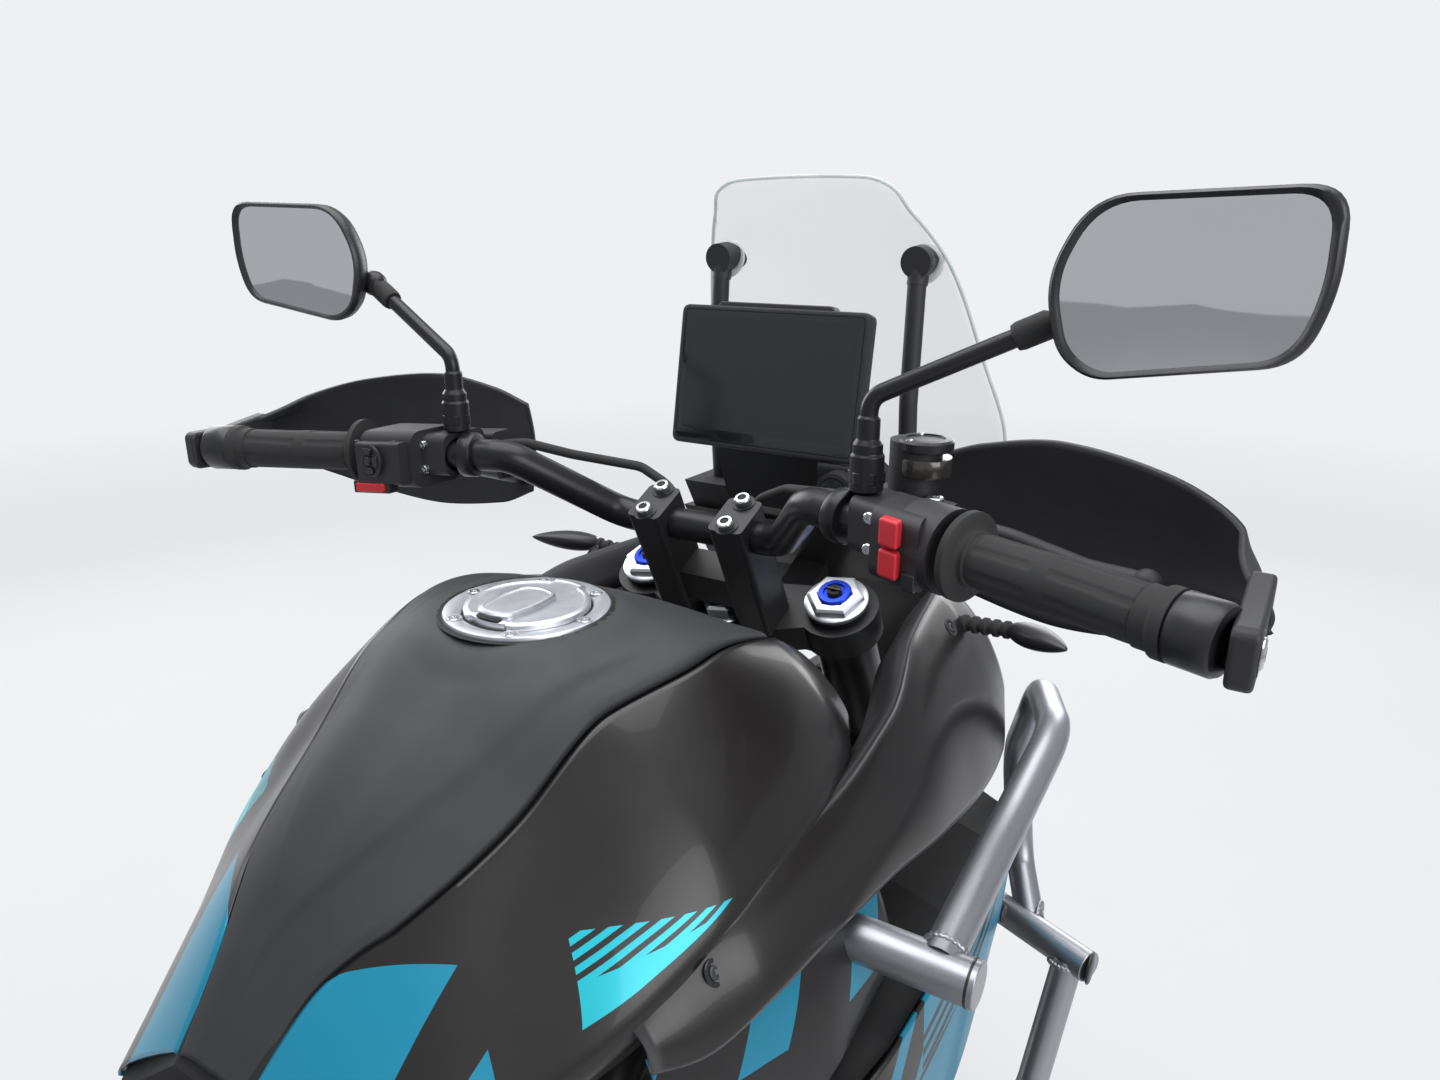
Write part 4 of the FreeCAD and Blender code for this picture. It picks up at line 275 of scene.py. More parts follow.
def screenFinish():
    # clear acrylic: mostly see-through, with gloss and a faint green edge
    made = Finish("clearScreen", Roughness=0.04)
    made.surface.inputs["IOR"].default_value = 1.49
    made.set("Base Color", made.mix(made.noise(6.0), (0.80, 0.86, 0.88), (0.92, 0.95, 0.96)))
    facing = made.out(made.add("ShaderNodeLayerWeight", None, Blend=0.25), 1)
    made.set("Alpha", made.ramp(facing, (0.0, (0.10, 0.10, 0.10)), (0.55, (0.20, 0.20, 0.20)),
                                (1.0, (0.85, 0.85, 0.85))))
    made.material.surface_render_method = "DITHERED"
    finishes["clearScreen"] = made


def mirrorFinish():
    made = Finish("mirrorFace", Metallic=1.0)
    made.set("Base Color", made.mix(made.noise(4.0), (0.84, 0.86, 0.88), (0.90, 0.92, 0.93)))
    made.set("Roughness", made.noise(3.0) * 0.02 + 0.015)
    finishes["mirrorFace"] = made


def displayFinish():
    made = Finish("displayGlass")
    made.set("Base Color", made.mix(made.noise(3.0), (0.006, 0.007, 0.009), (0.014, 0.015, 0.018)))
    made.set("Roughness", made.noise(30.0) * 0.05 + 0.10)
    made.surface.inputs["Coat Weight"].default_value = 0.6
    finishes["displayGlass"] = made


def lampFinish(name, colour, rough=0.12):
    made = Finish(name)
    made.set("Base Color", made.mix(made.cells(160.0), colour, [c * 0.6 for c in colour]))
    made.set("Roughness", made.noise(30.0) * 0.05 + rough)
    made.surface.inputs["Coat Weight"].default_value = 0.7
    made.bump(made.cells(240.0), 0.3, 0.001)
    finishes[name] = made


tyreFinish()
seatFinish()
screenFinish()
mirrorFinish()
displayFinish()
lampFinish("lampLens", (0.62, 0.64, 0.68))
lampFinish("redLens", (0.40, 0.01, 0.015))
lampFinish("smokyCup", (0.05, 0.045, 0.04), 0.2)

finishNodes = {
    "alloyPlain": "footpegs fork_lowers front_calipers radiator rear_caliper skid_plate swingarm",
    "barBlack": "fork_tubes handlebar",
    "blackMould": "bar_controls dash_panel front_mudguard hand_guards screen_arms tail_unit",
    "blackSmooth": "mirrors turn_signals",
    "boltSteel": "chassis_bolts",
    "brushedSteel": "rear_shock",
    "chainSteel": "drive_chain rear_sprocket",
    "clearScreen": "windscreen",
    "consoleMatt": "tank_cover",
    "crashGrey": "crash_bars rear_rack",
    "darkPanel": "lower_panels nose_fairing side_fairings tank_panels",
    "deepBlack": "fuel_tank tank_lobes",
    "discSteel": "front_discs rear_disc",
    "displayGlass": "display",
    "engineGrey": "engine",
    "frameBlack": "centre_stand front_wheel lower_clamp main_frame rear_wheel side_stand subframe top_clamp",
    "lampLens": "headlight",
    "mirrorFace": "mirror_glasses",
    "pipeSteel": "exhaust",
    "redGloss": "switch_buttons",
    "redLens": "tail_light",
    "seatCover": "pillion_seat rider_seat",
    "silverCast": "filler_ring fork_caps fuel_cap_lid",
    "softRubber": "brake_hoses control_cables grips",
    "tyreRubber": "front_tyre rear_tyre",
}
for finish, names in finishNodes.items():
    for name in names.split():
        nodes[name].data.materials.clear()
        nodes[name].data.materials.append(finishes[finish].material)


# Mesh helpers

def piece(name, verts, faces, *more, **look):
    mesh = bpy.data.meshes.new(name)
    mesh.from_pydata([tuple(v) for v in verts], [], [tuple(f) for f in faces])
    mesh.validate()
    thing = bpy.data.objects.new(name, mesh)
    bpy.context.scene.collection.objects.link(thing)
    return dress(thing, *more, **look)


def dress(thing, body, finish, slot=None, stands=(), smooth=40, bevel=0.0, subdivide=0, thick=0.0):
    # the piece's finish, shading, modifiers and the body that it rides on
    mesh = thing.data
    mesh.materials.append(finishes[finish].material)
    if thing.type == "MESH":
        work = bmesh.new()
        work.from_mesh(mesh)
        bmesh.ops.remove_doubles(work, verts=work.verts, dist=1e-6)
        bmesh.ops.recalc_face_normals(work, faces=work.faces)
        work.to_mesh(mesh)
        work.free()
        for polygon in mesh.polygons:
            polygon.use_smooth = True
        if thick:
            shell = thing.modifiers.new("thick", "SOLIDIFY")
            shell.thickness = thick
            shell.offset = -1
        if bevel:
            rounding = thing.modifiers.new("round", "BEVEL")
            rounding.width = bevel
            rounding.segments = 3
            rounding.limit_method = "ANGLE"
            rounding.angle_limit = math.radians(32)
            rounding.harden_normals = True
        if subdivide:
            fine = thing.modifiers.new("fine", "SUBSURF")
            fine.levels = subdivide
            fine.render_levels = subdivide
        if not subdivide:
            mesh.set_sharp_from_angle(angle=math.radians(smooth))
    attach(thing, body)
    if stands:
        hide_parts(*stands)
    return thing


def gridFaces(rows, columns, closedRows=False, closedColumns=False):
    faces = []
    for i in range(rows if closedRows else rows - 1):
        for j in range(columns if closedColumns else columns - 1):
            a, b = i * columns + j, i * columns + (j + 1) % columns
            c, d = ((i + 1) % rows) * columns + (j + 1) % columns, ((i + 1) % rows) * columns + j
            faces.append((a, b, c, d))
    return faces


def ringsMesh(rings, caps=True, loop=False):
    # closed rings of equal length joined one to the next
    count = len(rings[0])
    verts = [p for ring in rings for p in ring]
    faces = gridFaces(len(rings), count, loop, True)
    if caps and not loop:
        faces.append(tuple(range(count))[::-1])
        faces.append(tuple((len(rings) - 1) * count + k for k in range(count)))
    return verts, faces


def lathe(profile, centre, axis, sides=48, start=None, loop=False):
    # profile of (radius, distance along the axis)
    axis = Vector(axis).normalized()
    across = axis.orthogonal().normalized() if start is None else Vector(start).normalized()
    beside = axis.cross(across)
    rings = []
    for radius, along in profile:
        ring = []
        for k in range(sides):
            turn = 2 * math.pi * k / sides
            out = across * math.cos(turn) + beside * math.sin(turn)
            ring.append(Vector(centre) + axis * along + out * radius)
        rings.append(ring)
    return ringsMesh(rings, loop=loop)


def rodBetween(start, end, radius, sides=24):
    start, end = Vector(start), Vector(end)
    return lathe([(radius, 0), (radius, (end - start).length)], start, end - start, sides)


def joined(*meshes):
    verts, faces = [], []
    for more, sides in meshes:
        base = len(verts)
        verts += list(more)
        faces += [tuple(base + k for k in face) for face in sides]
    return verts, faces


def scaled(mesh):
    # a mesh drawn in millimetres, in metres
    return [v * mm for v in mesh[0]], mesh[1]


def boxMesh(centre, size):
    verts = [Vector(centre) + Vector((sx * size[0] / 2, sy * size[1] / 2, sz * size[2] / 2))
             for sx in (-1, 1) for sy in (-1, 1) for sz in (-1, 1)]
    faces = [(0, 1, 3, 2), (4, 6, 7, 5), (0, 4, 5, 1), (2, 3, 7, 6), (0, 2, 6, 4), (1, 5, 7, 3)]
    return verts, faces


def cableCurve(name, points, radius, body, finish, slot=None, fine=4):
    curve = bpy.data.curves.new(name, "CURVE")
    curve.dimensions = "3D"
    line = curve.splines.new("NURBS")
    line.points.add(len(points) - 1)
    for point, where in zip(line.points, points):
        point.co = (*where, 1)
    line.order_u = 3
    line.use_endpoint_u = True
    curve.resolution_u = 8
    curve.bevel_depth = radius
    curve.bevel_resolution = fine
    thing = bpy.data.objects.new(name, curve)
    bpy.context.scene.collection.objects.link(thing)
    return dress(thing, body, finish, slot)


def smoothStep(value, low, high):
    t = min(1.0, max(0.0, (value - low) / (high - low)))
    return t * t * (3 - 2 * t)


def smoothLine(xs, ys):
    # a monotone cubic through the stations, as a function of x
    xs, ys = np.asarray(xs, float), np.asarray(ys, float)
    order = np.argsort(xs)
    xs, ys = xs[order], ys[order]
    step = np.diff(xs)
    slope = np.diff(ys) / step
    lean = np.zeros_like(ys)
    for k in range(1, len(xs) - 1):
        if slope[k - 1] * slope[k] > 0:
            a, b = 2 * step[k] + step[k - 1], step[k] + 2 * step[k - 1]
            lean[k] = (a + b) / (a / slope[k - 1] + b / slope[k])
    lean[0], lean[-1] = slope[0], slope[-1]

    def at(x):
        x = np.clip(x, xs[0], xs[-1])
        k = np.clip(np.searchsorted(xs, x) - 1, 0, len(step) - 1)
        t = (x - xs[k]) / step[k]
        return ((1 + 2 * t) * (1 - t) ** 2 * ys[k] + t * (1 - t) ** 2 * step[k] * lean[k]
                + t * t * (3 - 2 * t) * ys[k + 1] + t * t * (t - 1) * step[k] * lean[k + 1])
    return at


def smoothLines(places):
    # one line per column of a table whose first column is x
    return [smoothLine([p[0] for p in places], [p[k] for p in places]) for k in range(1, len(places[0]))]


# Floor, light and camera

print("stage")


def paleFloor():
    floor = Finish("paleFloor", Roughness=0.9)
    floor.set("Base Color", floor.mix(floor.noise(3.0), (0.55, 0.55, 0.56), (0.60, 0.60, 0.61)))
    glow = floor.add("ShaderNodeEmission", None, Color=(0.86, 0.87, 0.89, 1), Strength=1.0)
    seen = floor.add("ShaderNodeLightPath")
    x, y, z = floor.axes()
    far = ((x * x + y * y - 4.0) * 0.02).most(0.0).least(1.0)
    share = floor.out(seen,
                      "Is Camera Ray").most(floor.out(seen, "Is Transmission Ray")) * (far * 0.25 + 0.75)
    blend = floor.add("ShaderNodeMixShader", None, i0=share)
    floor.tree.links.new(floor.surface.outputs[0], blend.inputs[1])
    floor.tree.links.new(glow.outputs[0], blend.inputs[2])
    floor.tree.links.new(blend.outputs[0], floor.tree.nodes["Material Output"].inputs["Surface"])
    half, level = 14, -0.0005
    verts = [(-half, -half, level), (half, -half, level), (half, half, level), (-half, half, level)]
    mesh = bpy.data.meshes.new("floor")
    mesh.from_pydata(verts, [], [(0, 1, 2, 3)])
    mesh.materials.append(floor.material)
    thing = bpy.data.objects.new("floor", mesh)
    bpy.context.scene.collection.objects.link(thing)


def softLights():
    for name, where, aim, size, power in (
            ("overhead", (0.3, 0.2, 3.6), (0.1, 0, 0.6), 3.2, 105),
            ("fromLeft", (1.2, 3.4, 2.2), (0.1, 0, 0.8), 2.4, 70),
            ("fromRight", (-1.0, -3.4, 2.4), (0.1, 0, 0.8), 2.4, 70),
            ("fromFront", (4.0, 0.2, 1.8), (0.2, 0, 0.8), 2.0, 45)):
        lamp = bpy.data.lights.new(name, "AREA")
        lamp.energy = power
        lamp.size = size
        thing = bpy.data.objects.new(name, lamp)
        thing.location = where
        thing.rotation_euler = (Vector(aim) - Vector(where)).to_track_quat("-Z", "Y").to_euler()
        bpy.context.scene.collection.objects.link(thing)


def paleWorld():
    world = bpy.data.worlds.new("softSky")
    bpy.context.scene.world = world
    world.use_nodes = True
    tree = world.node_tree
    back = tree.nodes["Background"]
    path = tree.nodes.new("ShaderNodeLightPath")
    tone = tree.nodes.new("ShaderNodeMix")
    tone.data_type = "RGBA"
    tone.inputs[6].default_value = (0.42, 0.43, 0.45, 1)
    tone.inputs[7].default_value = (0.86, 0.87, 0.89, 1)
    tree.links.new(path.outputs["Is Camera Ray"], tone.inputs[0])
    tree.links.new(tone.outputs[2], back.inputs["Color"])
    back.inputs["Strength"].default_value = 1.0


cameraValues = {"sensor": 36, "lens": 25, "nearest": 0.02, "place": (-0.376, -0.474, 1.370),
                "degrees": (72.33, 0, -57.83)}


def photoCamera():
    lens = bpy.data.cameras.new("view")
    lens.sensor_width = cameraValues["sensor"]
    lens.lens = cameraValues["lens"]
    lens.clip_start = cameraValues["nearest"]
    thing = bpy.data.objects.new("view", lens)
    thing.location = cameraValues["place"]
    thing.rotation_euler = [math.radians(turn) for turn in cameraValues["degrees"]]
    bpy.context.scene.collection.objects.link(thing)
    bpy.context.scene.camera = thing


paleFloor()
softLights()
paleWorld()
photoCamera()
bpy.context.scene.view_settings.view_transform = "Standard"


# Fuel tank: matt console, satin side panels with a crest, teal corners

print("tank")
tankPlaces = [(298, 1046, 78, 132, 1032, 172, 994, 966), (226, 1084, 84, 148, 1066, 204, 996, 940),
              (150, 1106, 80, 142, 1079, 214, 990, 927), (70, 1100, 72, 133, 1057, 210, 976, 920),
              (0, 1066, 54, 116, 1011, 190, 946, 900), (-80, 1008, 40, 100, 956, 148, 900, 870),
              (-160, 920, 28, 82, 882, 110, 858, 836)]
crown, flatHalf, crestHalf, crestHigh, wideHalf, wideHigh, floorHigh = smoothLines(tankPlaces)
seamHalf = smoothLine([296, 228, 150, 63, -11, -74, -92, -116, -158],
                      [100, 130, 131, 108, 91, 67, 55, 41, 29])


def tankProfile(x):
    # half section from the crown to the floor, as a smooth curve through the CAD model's corners
    shape = [(0, crown(x)), (flatHalf(x), crown(x) - 5), (crestHalf(x), crestHigh(x)),
             (wideHalf(x), wideHigh(x)), (wideHalf(x) * 0.95, floorHigh(x))]
    pts = [Vector((float(a), float(b))) for a, b in shape]
    line = []
    padded = [Vector((-pts[1].x, pts[1].y))] + pts + [pts[-1] * 2 - pts[-2]]
    for k in range(1, len(padded) - 2):
        a, b, c, d = padded[k - 1:k + 3]
        for step in range(16):
            t = step / 16
            line.append(0.5 * ((2 * b) + (c - a) * t + (2 * a - 5 * b + 4 * c - d) * t * t
                               + (3 * b - a - 3 * c + d) * t ** 3))
    line.append(pts[-1])
    return line


def heightOn(x, y):
    # height of the tank's surface above a point of its plan
    line = tankProfile(x)
    for here, there in zip(line, line[1:]):
        if here.x <= y <= there.x and there.x > here.x:
            return here.y + (there.y - here.y) * (y - here.x) / (there.x - here.x)
    return line[-1].y


capX = 118
consoleValues = {"front": 294, "back": -157, "collarRise": 3.0, "ridge": 2.2, "columns": 97, "rows": 241,
                 "capLevel": 1103, "holeRadius": 60.5 * mm}


def consoleSurface():
    rows, columns = consoleValues["rows"], consoleValues["columns"]
    verts = []
    for i in range(rows):
        x = consoleValues["front"] + (consoleValues["back"] - consoleValues["front"]) * i / (rows - 1)
        half = float(seamHalf(x)) - 0.8
        for j in range(columns):
            across = -1 + 2 * j / (columns - 1)
            y = half * math.copysign(abs(across) ** 0.9, across)
            z = heightOn(x, abs(y))
            fromCap = math.hypot(x - capX, y)
            # a raised collar round the filler, then a faint ridge on each side, then the rolled edge
            z += consoleValues["collarRise"] * (1 - smoothStep(fromCap, 68, 92))
            ridgeAt = half - 30 + 8 * math.sin((x + 20) / 60)
            if x < 150:
                fade = smoothStep(150 - x, 0, 60)
                z += consoleValues["ridge"] * (1 - smoothStep(abs(y), ridgeAt - 5, ridgeAt + 5)) * fade
            rise = (1 - abs(across)) * half
            z -= 3.2 * (1 - smoothStep(rise, 0, 4.5)) ** 1.5
            if fromCap < 62:
                z = min(z, consoleValues["capLevel"])
            verts.append(Vector((x, y, z)) * mm)
    faces = [face for face in gridFaces(rows, columns)
             if (sum((verts[k] for k in face), Vector()) / 4 - Vector((capX * mm, 0, 0))).xy.length
             > consoleValues["holeRadius"]]
    return verts, faces


piece("tankConsole", *consoleSurface(), "chassis", "consoleMatt", "black_plastic", ["tank_cover"],
      thick=3.2 * mm)


def panelSurface(side):
    # from the console's seam over the crest and down the flank
    rows, columns = 220, 80
    verts = []
    for i in range(rows):
        x = 292 - (292 + 156) * i / (rows - 1)
        line = tankProfile(x)
        start = float(seamHalf(x)) + 0.8
        begin = next((k for k, p in enumerate(line) if p.x > start and k > 2), len(line) - 2)
        lengths = [0.0]
        pts = [Vector((start, heightOn(x, start)))] + line[begin:]
        for a, b in zip(pts, pts[1:]):
            lengths.append(lengths[-1] + (b - a).length)
        low = 6 + 14 * smoothStep(-x, 60, 150)
        for j in range(columns):
            want = (lengths[-1] - low) * j / (columns - 1)
            k = next((n for n in range(1, len(lengths)) if lengths[n] >= want), len(lengths) - 1)
            t = (want - lengths[k - 1]) / max(1e-6, lengths[k] - lengths[k - 1])
            p = pts[k - 1].lerp(pts[k], t)
            drop = 3.0 * (1 - smoothStep(want, 0, 5)) ** 1.5
            verts.append(Vector((x, side * p.x, p.y - drop)) * mm)
    return verts, gridFaces(rows, columns)


paintShades = {"dark": ((0.010, 0.010, 0.012), (0.022, 0.019, 0.018)),
               "lower": ((0.010, 0.010, 0.012), (0.020, 0.019, 0.019)),
               "teal": ((0.006, 0.20, 0.33), (0.010, 0.27, 0.42)),
               "bright": ((0.006, 0.42, 0.52), (0.010, 0.50, 0.60))}


def shade(made, name, scale):
    return made.mix(made.noise(scale), *paintShades[name])


def satinPaint(made, colour, rough, spread, coat):
    made.set("Base Color", colour)
    made.set("Roughness", made.noise(50.0) * spread + rough)
    made.surface.inputs["Coat Weight"].default_value = coat
    made.bump(made.noise(900.0, 2.0), 0.03, 0.0003)
    finishes[made.material.name] = made


def tankPanelFinish():
    # satin near-black with a faint brown sheen, and the teal shapes with their slanting stripes
    made = Finish("tankPanel", Metallic=0.22)
    x, y, z = made.axes()
    y = abs(y)
    sheen, teal, bright = shade(made, "dark", 7.0), shade(made, "teal", 6.0), shade(made, "bright", 8.0)
    # the large corner beside the console's rear end
    behind = ((y - 0.035) * 0.806 - 0.116 - x) > 0
    withinCrest = ((x + 0.062) * 0.09 + 0.102 - y) > 0
    colour = made.mix(behind * withinCrest, sheen, teal)
    # the flash on the flank, striped in its upper part
    slant = z - x * 0.433
    left = (x + 0.016 + (0.975 - z) * 0.46) > 0
    flash = left * ((0.978 - z) > 0) * ((slant - 0.9507) > 0) * ((y - 0.120) > 0)
    stripe = ((slant * 416.0).pingpong(1.0) > 0.54) * ((z - 0.956 - (x + 0.025) * 0.23) > 0)
    colour = made.mix(flash * (1.0 - stripe), colour, bright)
    # the tip of a third shape below them
    drop = 0.934 - z
    tip = (drop > 0) * ((x + 0.071 + drop * 1.18) > 0) * ((x * -1.0 - 0.071
                                                           - drop * 0.29) > 0) * ((y - 0.110) > 0)
    colour = made.mix(tip, colour, teal)
    satinPaint(made, colour, 0.27, 0.07, 0.15)


tankPanelFinish()
for side, label in bothSides:
    piece("tankPanel" + label, *panelSurface(side), "chassis", "tankPanel", "teal_panel", ["tank_panels"],
          thick=3.2 * mm)


# Windscreen: bowed clear sheet with round top corners and a bright cut edge

print("windscreen")
screenPlaces = [(1412, 105, 524, 509), (1333, 136, 600, 574), (1240, 160, 655, 616), (1153, 180, 698, 650),
                (1068, 152, 734, 682)]
screenHalf, screenMiddle, screenSide = smoothLines(screenPlaces)


def screenPoint(across, up):
    foot, tall = 1069, 342
    z = foot + tall * up
    half = float(screenHalf(z))
    corner = max(0.0, (abs(across) - 0.62) / 0.38)
    z -= 26 * up ** 6 * (1 - math.sqrt(max(0.0, 1 - corner ** 2))) + 5 * up ** 4 * across ** 2
    x = float(screenMiddle(z)) + (float(screenSide(z)) - float(screenMiddle(z))) * abs(across) ** 2.2
    return Vector((x, half * across, z)) * mm


rows, columns = 60, 49
verts = [screenPoint(-1 + 2 * j / (columns - 1), i / (rows - 1)) for i in range(rows) for j in range(columns)]
piece("clearScreen", verts, gridFaces(rows, columns), "chassis", "clearScreen", "clear_screen",
      ["windscreen"], thick=3.6 * mm)
screenEdge = Finish("screenEdge", Roughness=0.15)
screenEdge.set("Base Color", screenEdge.mix(screenEdge.noise(30.0), (0.55, 0.60, 0.62), (0.80, 0.84, 0.85)))
screenEdge.set("Alpha", screenEdge.noise(20.0) * 0.2 + 0.55)
finishes["screenEdge"] = screenEdge
rim = [screenPoint(-1, i / 30) for i in range(31)] + [screenPoint(-1 + 2 * j / 30, 1) for j in range(1, 31)]
rim += [screenPoint(1, 1 - i / 30) for i in range(1, 31)]
cableCurve("screenRim", rim, 1.9 * mm, "chassis", "screenEdge", "clear_screen")


# Mirrors on their stalks

print("mirrors")
mirrorValues = {"outline": [(-54, 50), (76, 54), (78, 0), (66, -38), (-44, -56), (-66, -42), (-78, 2)],
                "radii": [30, 22, 34, 22, 16, 16, 26], "centre": (244, 386, 1335), "yaw": 9.0,
                "stalk": ((251, 200, 1192), (251, 200, 1256), (274, 320, 1314))}


def roundedOutline(points, radii, steps=9):
    line = []
    count = len(points)
    for k in range(count):
        here = Vector(points[k])
        back = (Vector(points[k - 1]) - here)
        ahead = (Vector(points[(k + 1) % count]) - here)
        reach = min(radii[k], back.length * 0.48, ahead.length * 0.48)
        start, end = here + back.normalized() * reach, here + ahead.normalized() * reach
        for step in range(steps):
            t = step / (steps - 1)
            line.append(start * (1 - t) ** 2 + here * 2 * t * (1 - t) + end * t * t)
    return line


def mirrorParts(side):
    yaw = math.radians(mirrorValues["yaw"])
    across = Vector((-math.sin(yaw), side * math.cos(yaw), 0))
    back = Vector((-math.cos(yaw), -side * math.sin(yaw), 0))
    centre = Vector(mirrorValues["centre"])
    centre.y *= side
    outline = roundedOutline(mirrorValues["outline"], mirrorValues["radii"])

    def ring(shrink, depth):
        return [(centre + across * (p.x * shrink) + Vector((0, 0, p.y * shrink)) + back * depth) * mm
                for p in outline]

    shell = ringsMesh([ring(0.90, 2.0), ring(0.925, 5.2), ring(0.965, 6.4), ring(0.995, 4.4), ring(1.0, 1.0),
                       ring(0.985, -6), ring(0.93, -13), ring(0.80, -20), ring(0.55, -25), ring(0.25, -27)])
    glass = ringsMesh([ring(0.93, 3.0), ring(0.6, 3.6), ring(0.2, 3.9)])
    if side == -1:
        shell = shell[0], [tuple(reversed(f)) for f in shell[1]]
    return shell, glass


for side, label in bothSides:
    shell, glass = mirrorParts(side)
    piece("mirrorShell" + label, *shell, "steering", "blackSmooth", "black_plastic", ["mirrors"], smooth=60)
    piece("mirrorGlass" + label, *glass, "steering", "mirrorFace", "mirror_face", ["mirror_glasses"],
          smooth=60)
    foot, knee, joint = (Vector((x, side * y, z)) for x, y, z in mirrorValues["stalk"])
    bend = [foot, knee.lerp(foot, 0.35), knee, knee.lerp(joint, 0.15), knee.lerp(joint, 0.6), joint]
    cableCurve("mirrorStalk" + label, [p * mm for p in bend], 6.4 * mm, "steering", "barBlack", "black_frame")
    collar = lathe([(9, 0), (12, 1.5), (12, 26), (10.6, 28), (10.6, 34), (8, 38), (8, 52), (6.5, 54)],
                   (251, side * 200, 1190), (0, 0, 1), 32)
    nut = lathe([(11, 0), (13.4, 1.2), (13.4, 9), (11, 10.2)], (251, side * 200, 1196), (0, 0, 1), 6)
    ball = lathe([(0.1, -12), (5, -11), (9, -8), (11.5, -2), (11.5, 3), (9, 9), (7, 13)], joint, joint - knee,
                 32)
    boot = lathe([(8.5, -34), (9.5, -30), (9.5, -12), (7, -8)], joint, joint - knee, 24)
    for part, mesh in (("Collar", collar), ("Nut", nut), ("Ball", ball), ("Boot", boot)):
        piece("mirror" + part + label, *scaled(mesh), "steering",
              "barBlack" if part != "Boot" else "softRubber", "black_frame", bevel=0.0005)


# Handlebar ends: ribbed grips, end weights, guards

print("bar ends")
barEnd = Vector((168, 436, 1163))
barRise = Vector((262, 150, 1171))
barSlope = (barEnd - barRise).normalized()


def alongBar(side, distance, up=0.0, ahead=0.0):
    point = barEnd - barSlope * distance + Vector((ahead, 0, up))
    return Vector((point.x, side * point.y, point.z))


gripValues = {"inner": 160, "outer": 20, "radius": 17.2, "stations": 150, "sides": 96}


def gripMesh(side):
    start, end = alongBar(side, gripValues["inner"]), alongBar(side, gripValues["outer"])
    axis = (end - start).normalized()
    across = Vector((0, 0, 1)).cross(axis).normalized()
    beside = axis.cross(across)
    rings = []
    for i in range(gripValues["stations"]):
        along = (gripValues["inner"] - gripValues["outer"]) * i / (gripValues["stations"] - 1)
        ring = []
        for k in range(gripValues["sides"]):
            turn = 2 * math.pi * k / gripValues["sides"]
            radius = gripValues["radius"]
            if 14 < along < 122:
                # raised bars along the grip with plain straps between them
                edge = smoothStep(along, 14, 16) * (1 - smoothStep(along, 120, 122))
                strap = 1 - smoothStep(abs(along - 62), 5, 7)
                bar = smoothStep(math.sin(7 * turn + 0.5 * math.sin(along / 30.0)), -0.75, -0.45)
                radius += edge * max(0.75 * bar, 0.85 * strap)
            if along <= 12:
                radius += 11.0 * (1 - smoothStep(along, 5, 8)) + 1.6
            if along > 122:
                radius += 1.6 + 2.4 * smoothStep(along, 131, 133)
            out = across * math.cos(turn) + beside * math.sin(turn)
            ring.append((start + axis * along + out * radius) * mm)
        rings.append(ring)
    return ringsMesh(rings)


guardStations = [(207, 452, 1148, 1180), (262, 438, 1126, 1197), (306, 388, 1100, 1215),
                 (336, 312, 1086, 1223), (352, 250, 1092, 1212), (358, 212, 1108, 1198)]


def guardMesh(side):
    # a bowed shell with a ledge inside and a rolled upper rim
    places = np.array(guardStations, float)
    reach = np.concatenate([[0], np.cumsum(np.linalg.norm(np.diff(places[:, :2], axis=0), axis=1))])
    lines = [smoothLine(reach, places[:, k]) for k in range(4)]
    rows, columns = 90, 30
    verts = []
    for i in range(rows):
        s = reach[-1] * i / (rows - 1)
        x, y, low, high = (float(line(s)) for line in lines)
        step = 2.0
        after, before = min(s + step, reach[-1]), max(s - step, 0)
        tangent = Vector([float(line(after)) - float(line(before)) for line in lines[:2]] + [0]).normalized()
        out = Vector((-tangent.y, tangent.x, 0))
        if out.x < 0:
            out = -out
        for j in range(columns):
            t = j / (columns - 1)
            z = low + (high - low) * t
            bulge = 9 * math.sin(math.pi * t) + 3 * smoothStep(t, 0.2, 0.26) - 3 * smoothStep(t, 0.26, 0.34)
            bulge -= 5 * smoothStep(t, 0.80, 0.90) * math.sin(math.pi * min(1, s / 60))
            p = Vector((x, y, z)) + out * bulge
            verts.append(Vector((p.x, side * p.y, p.z)) * mm)
    return verts, gridFaces(rows, columns)


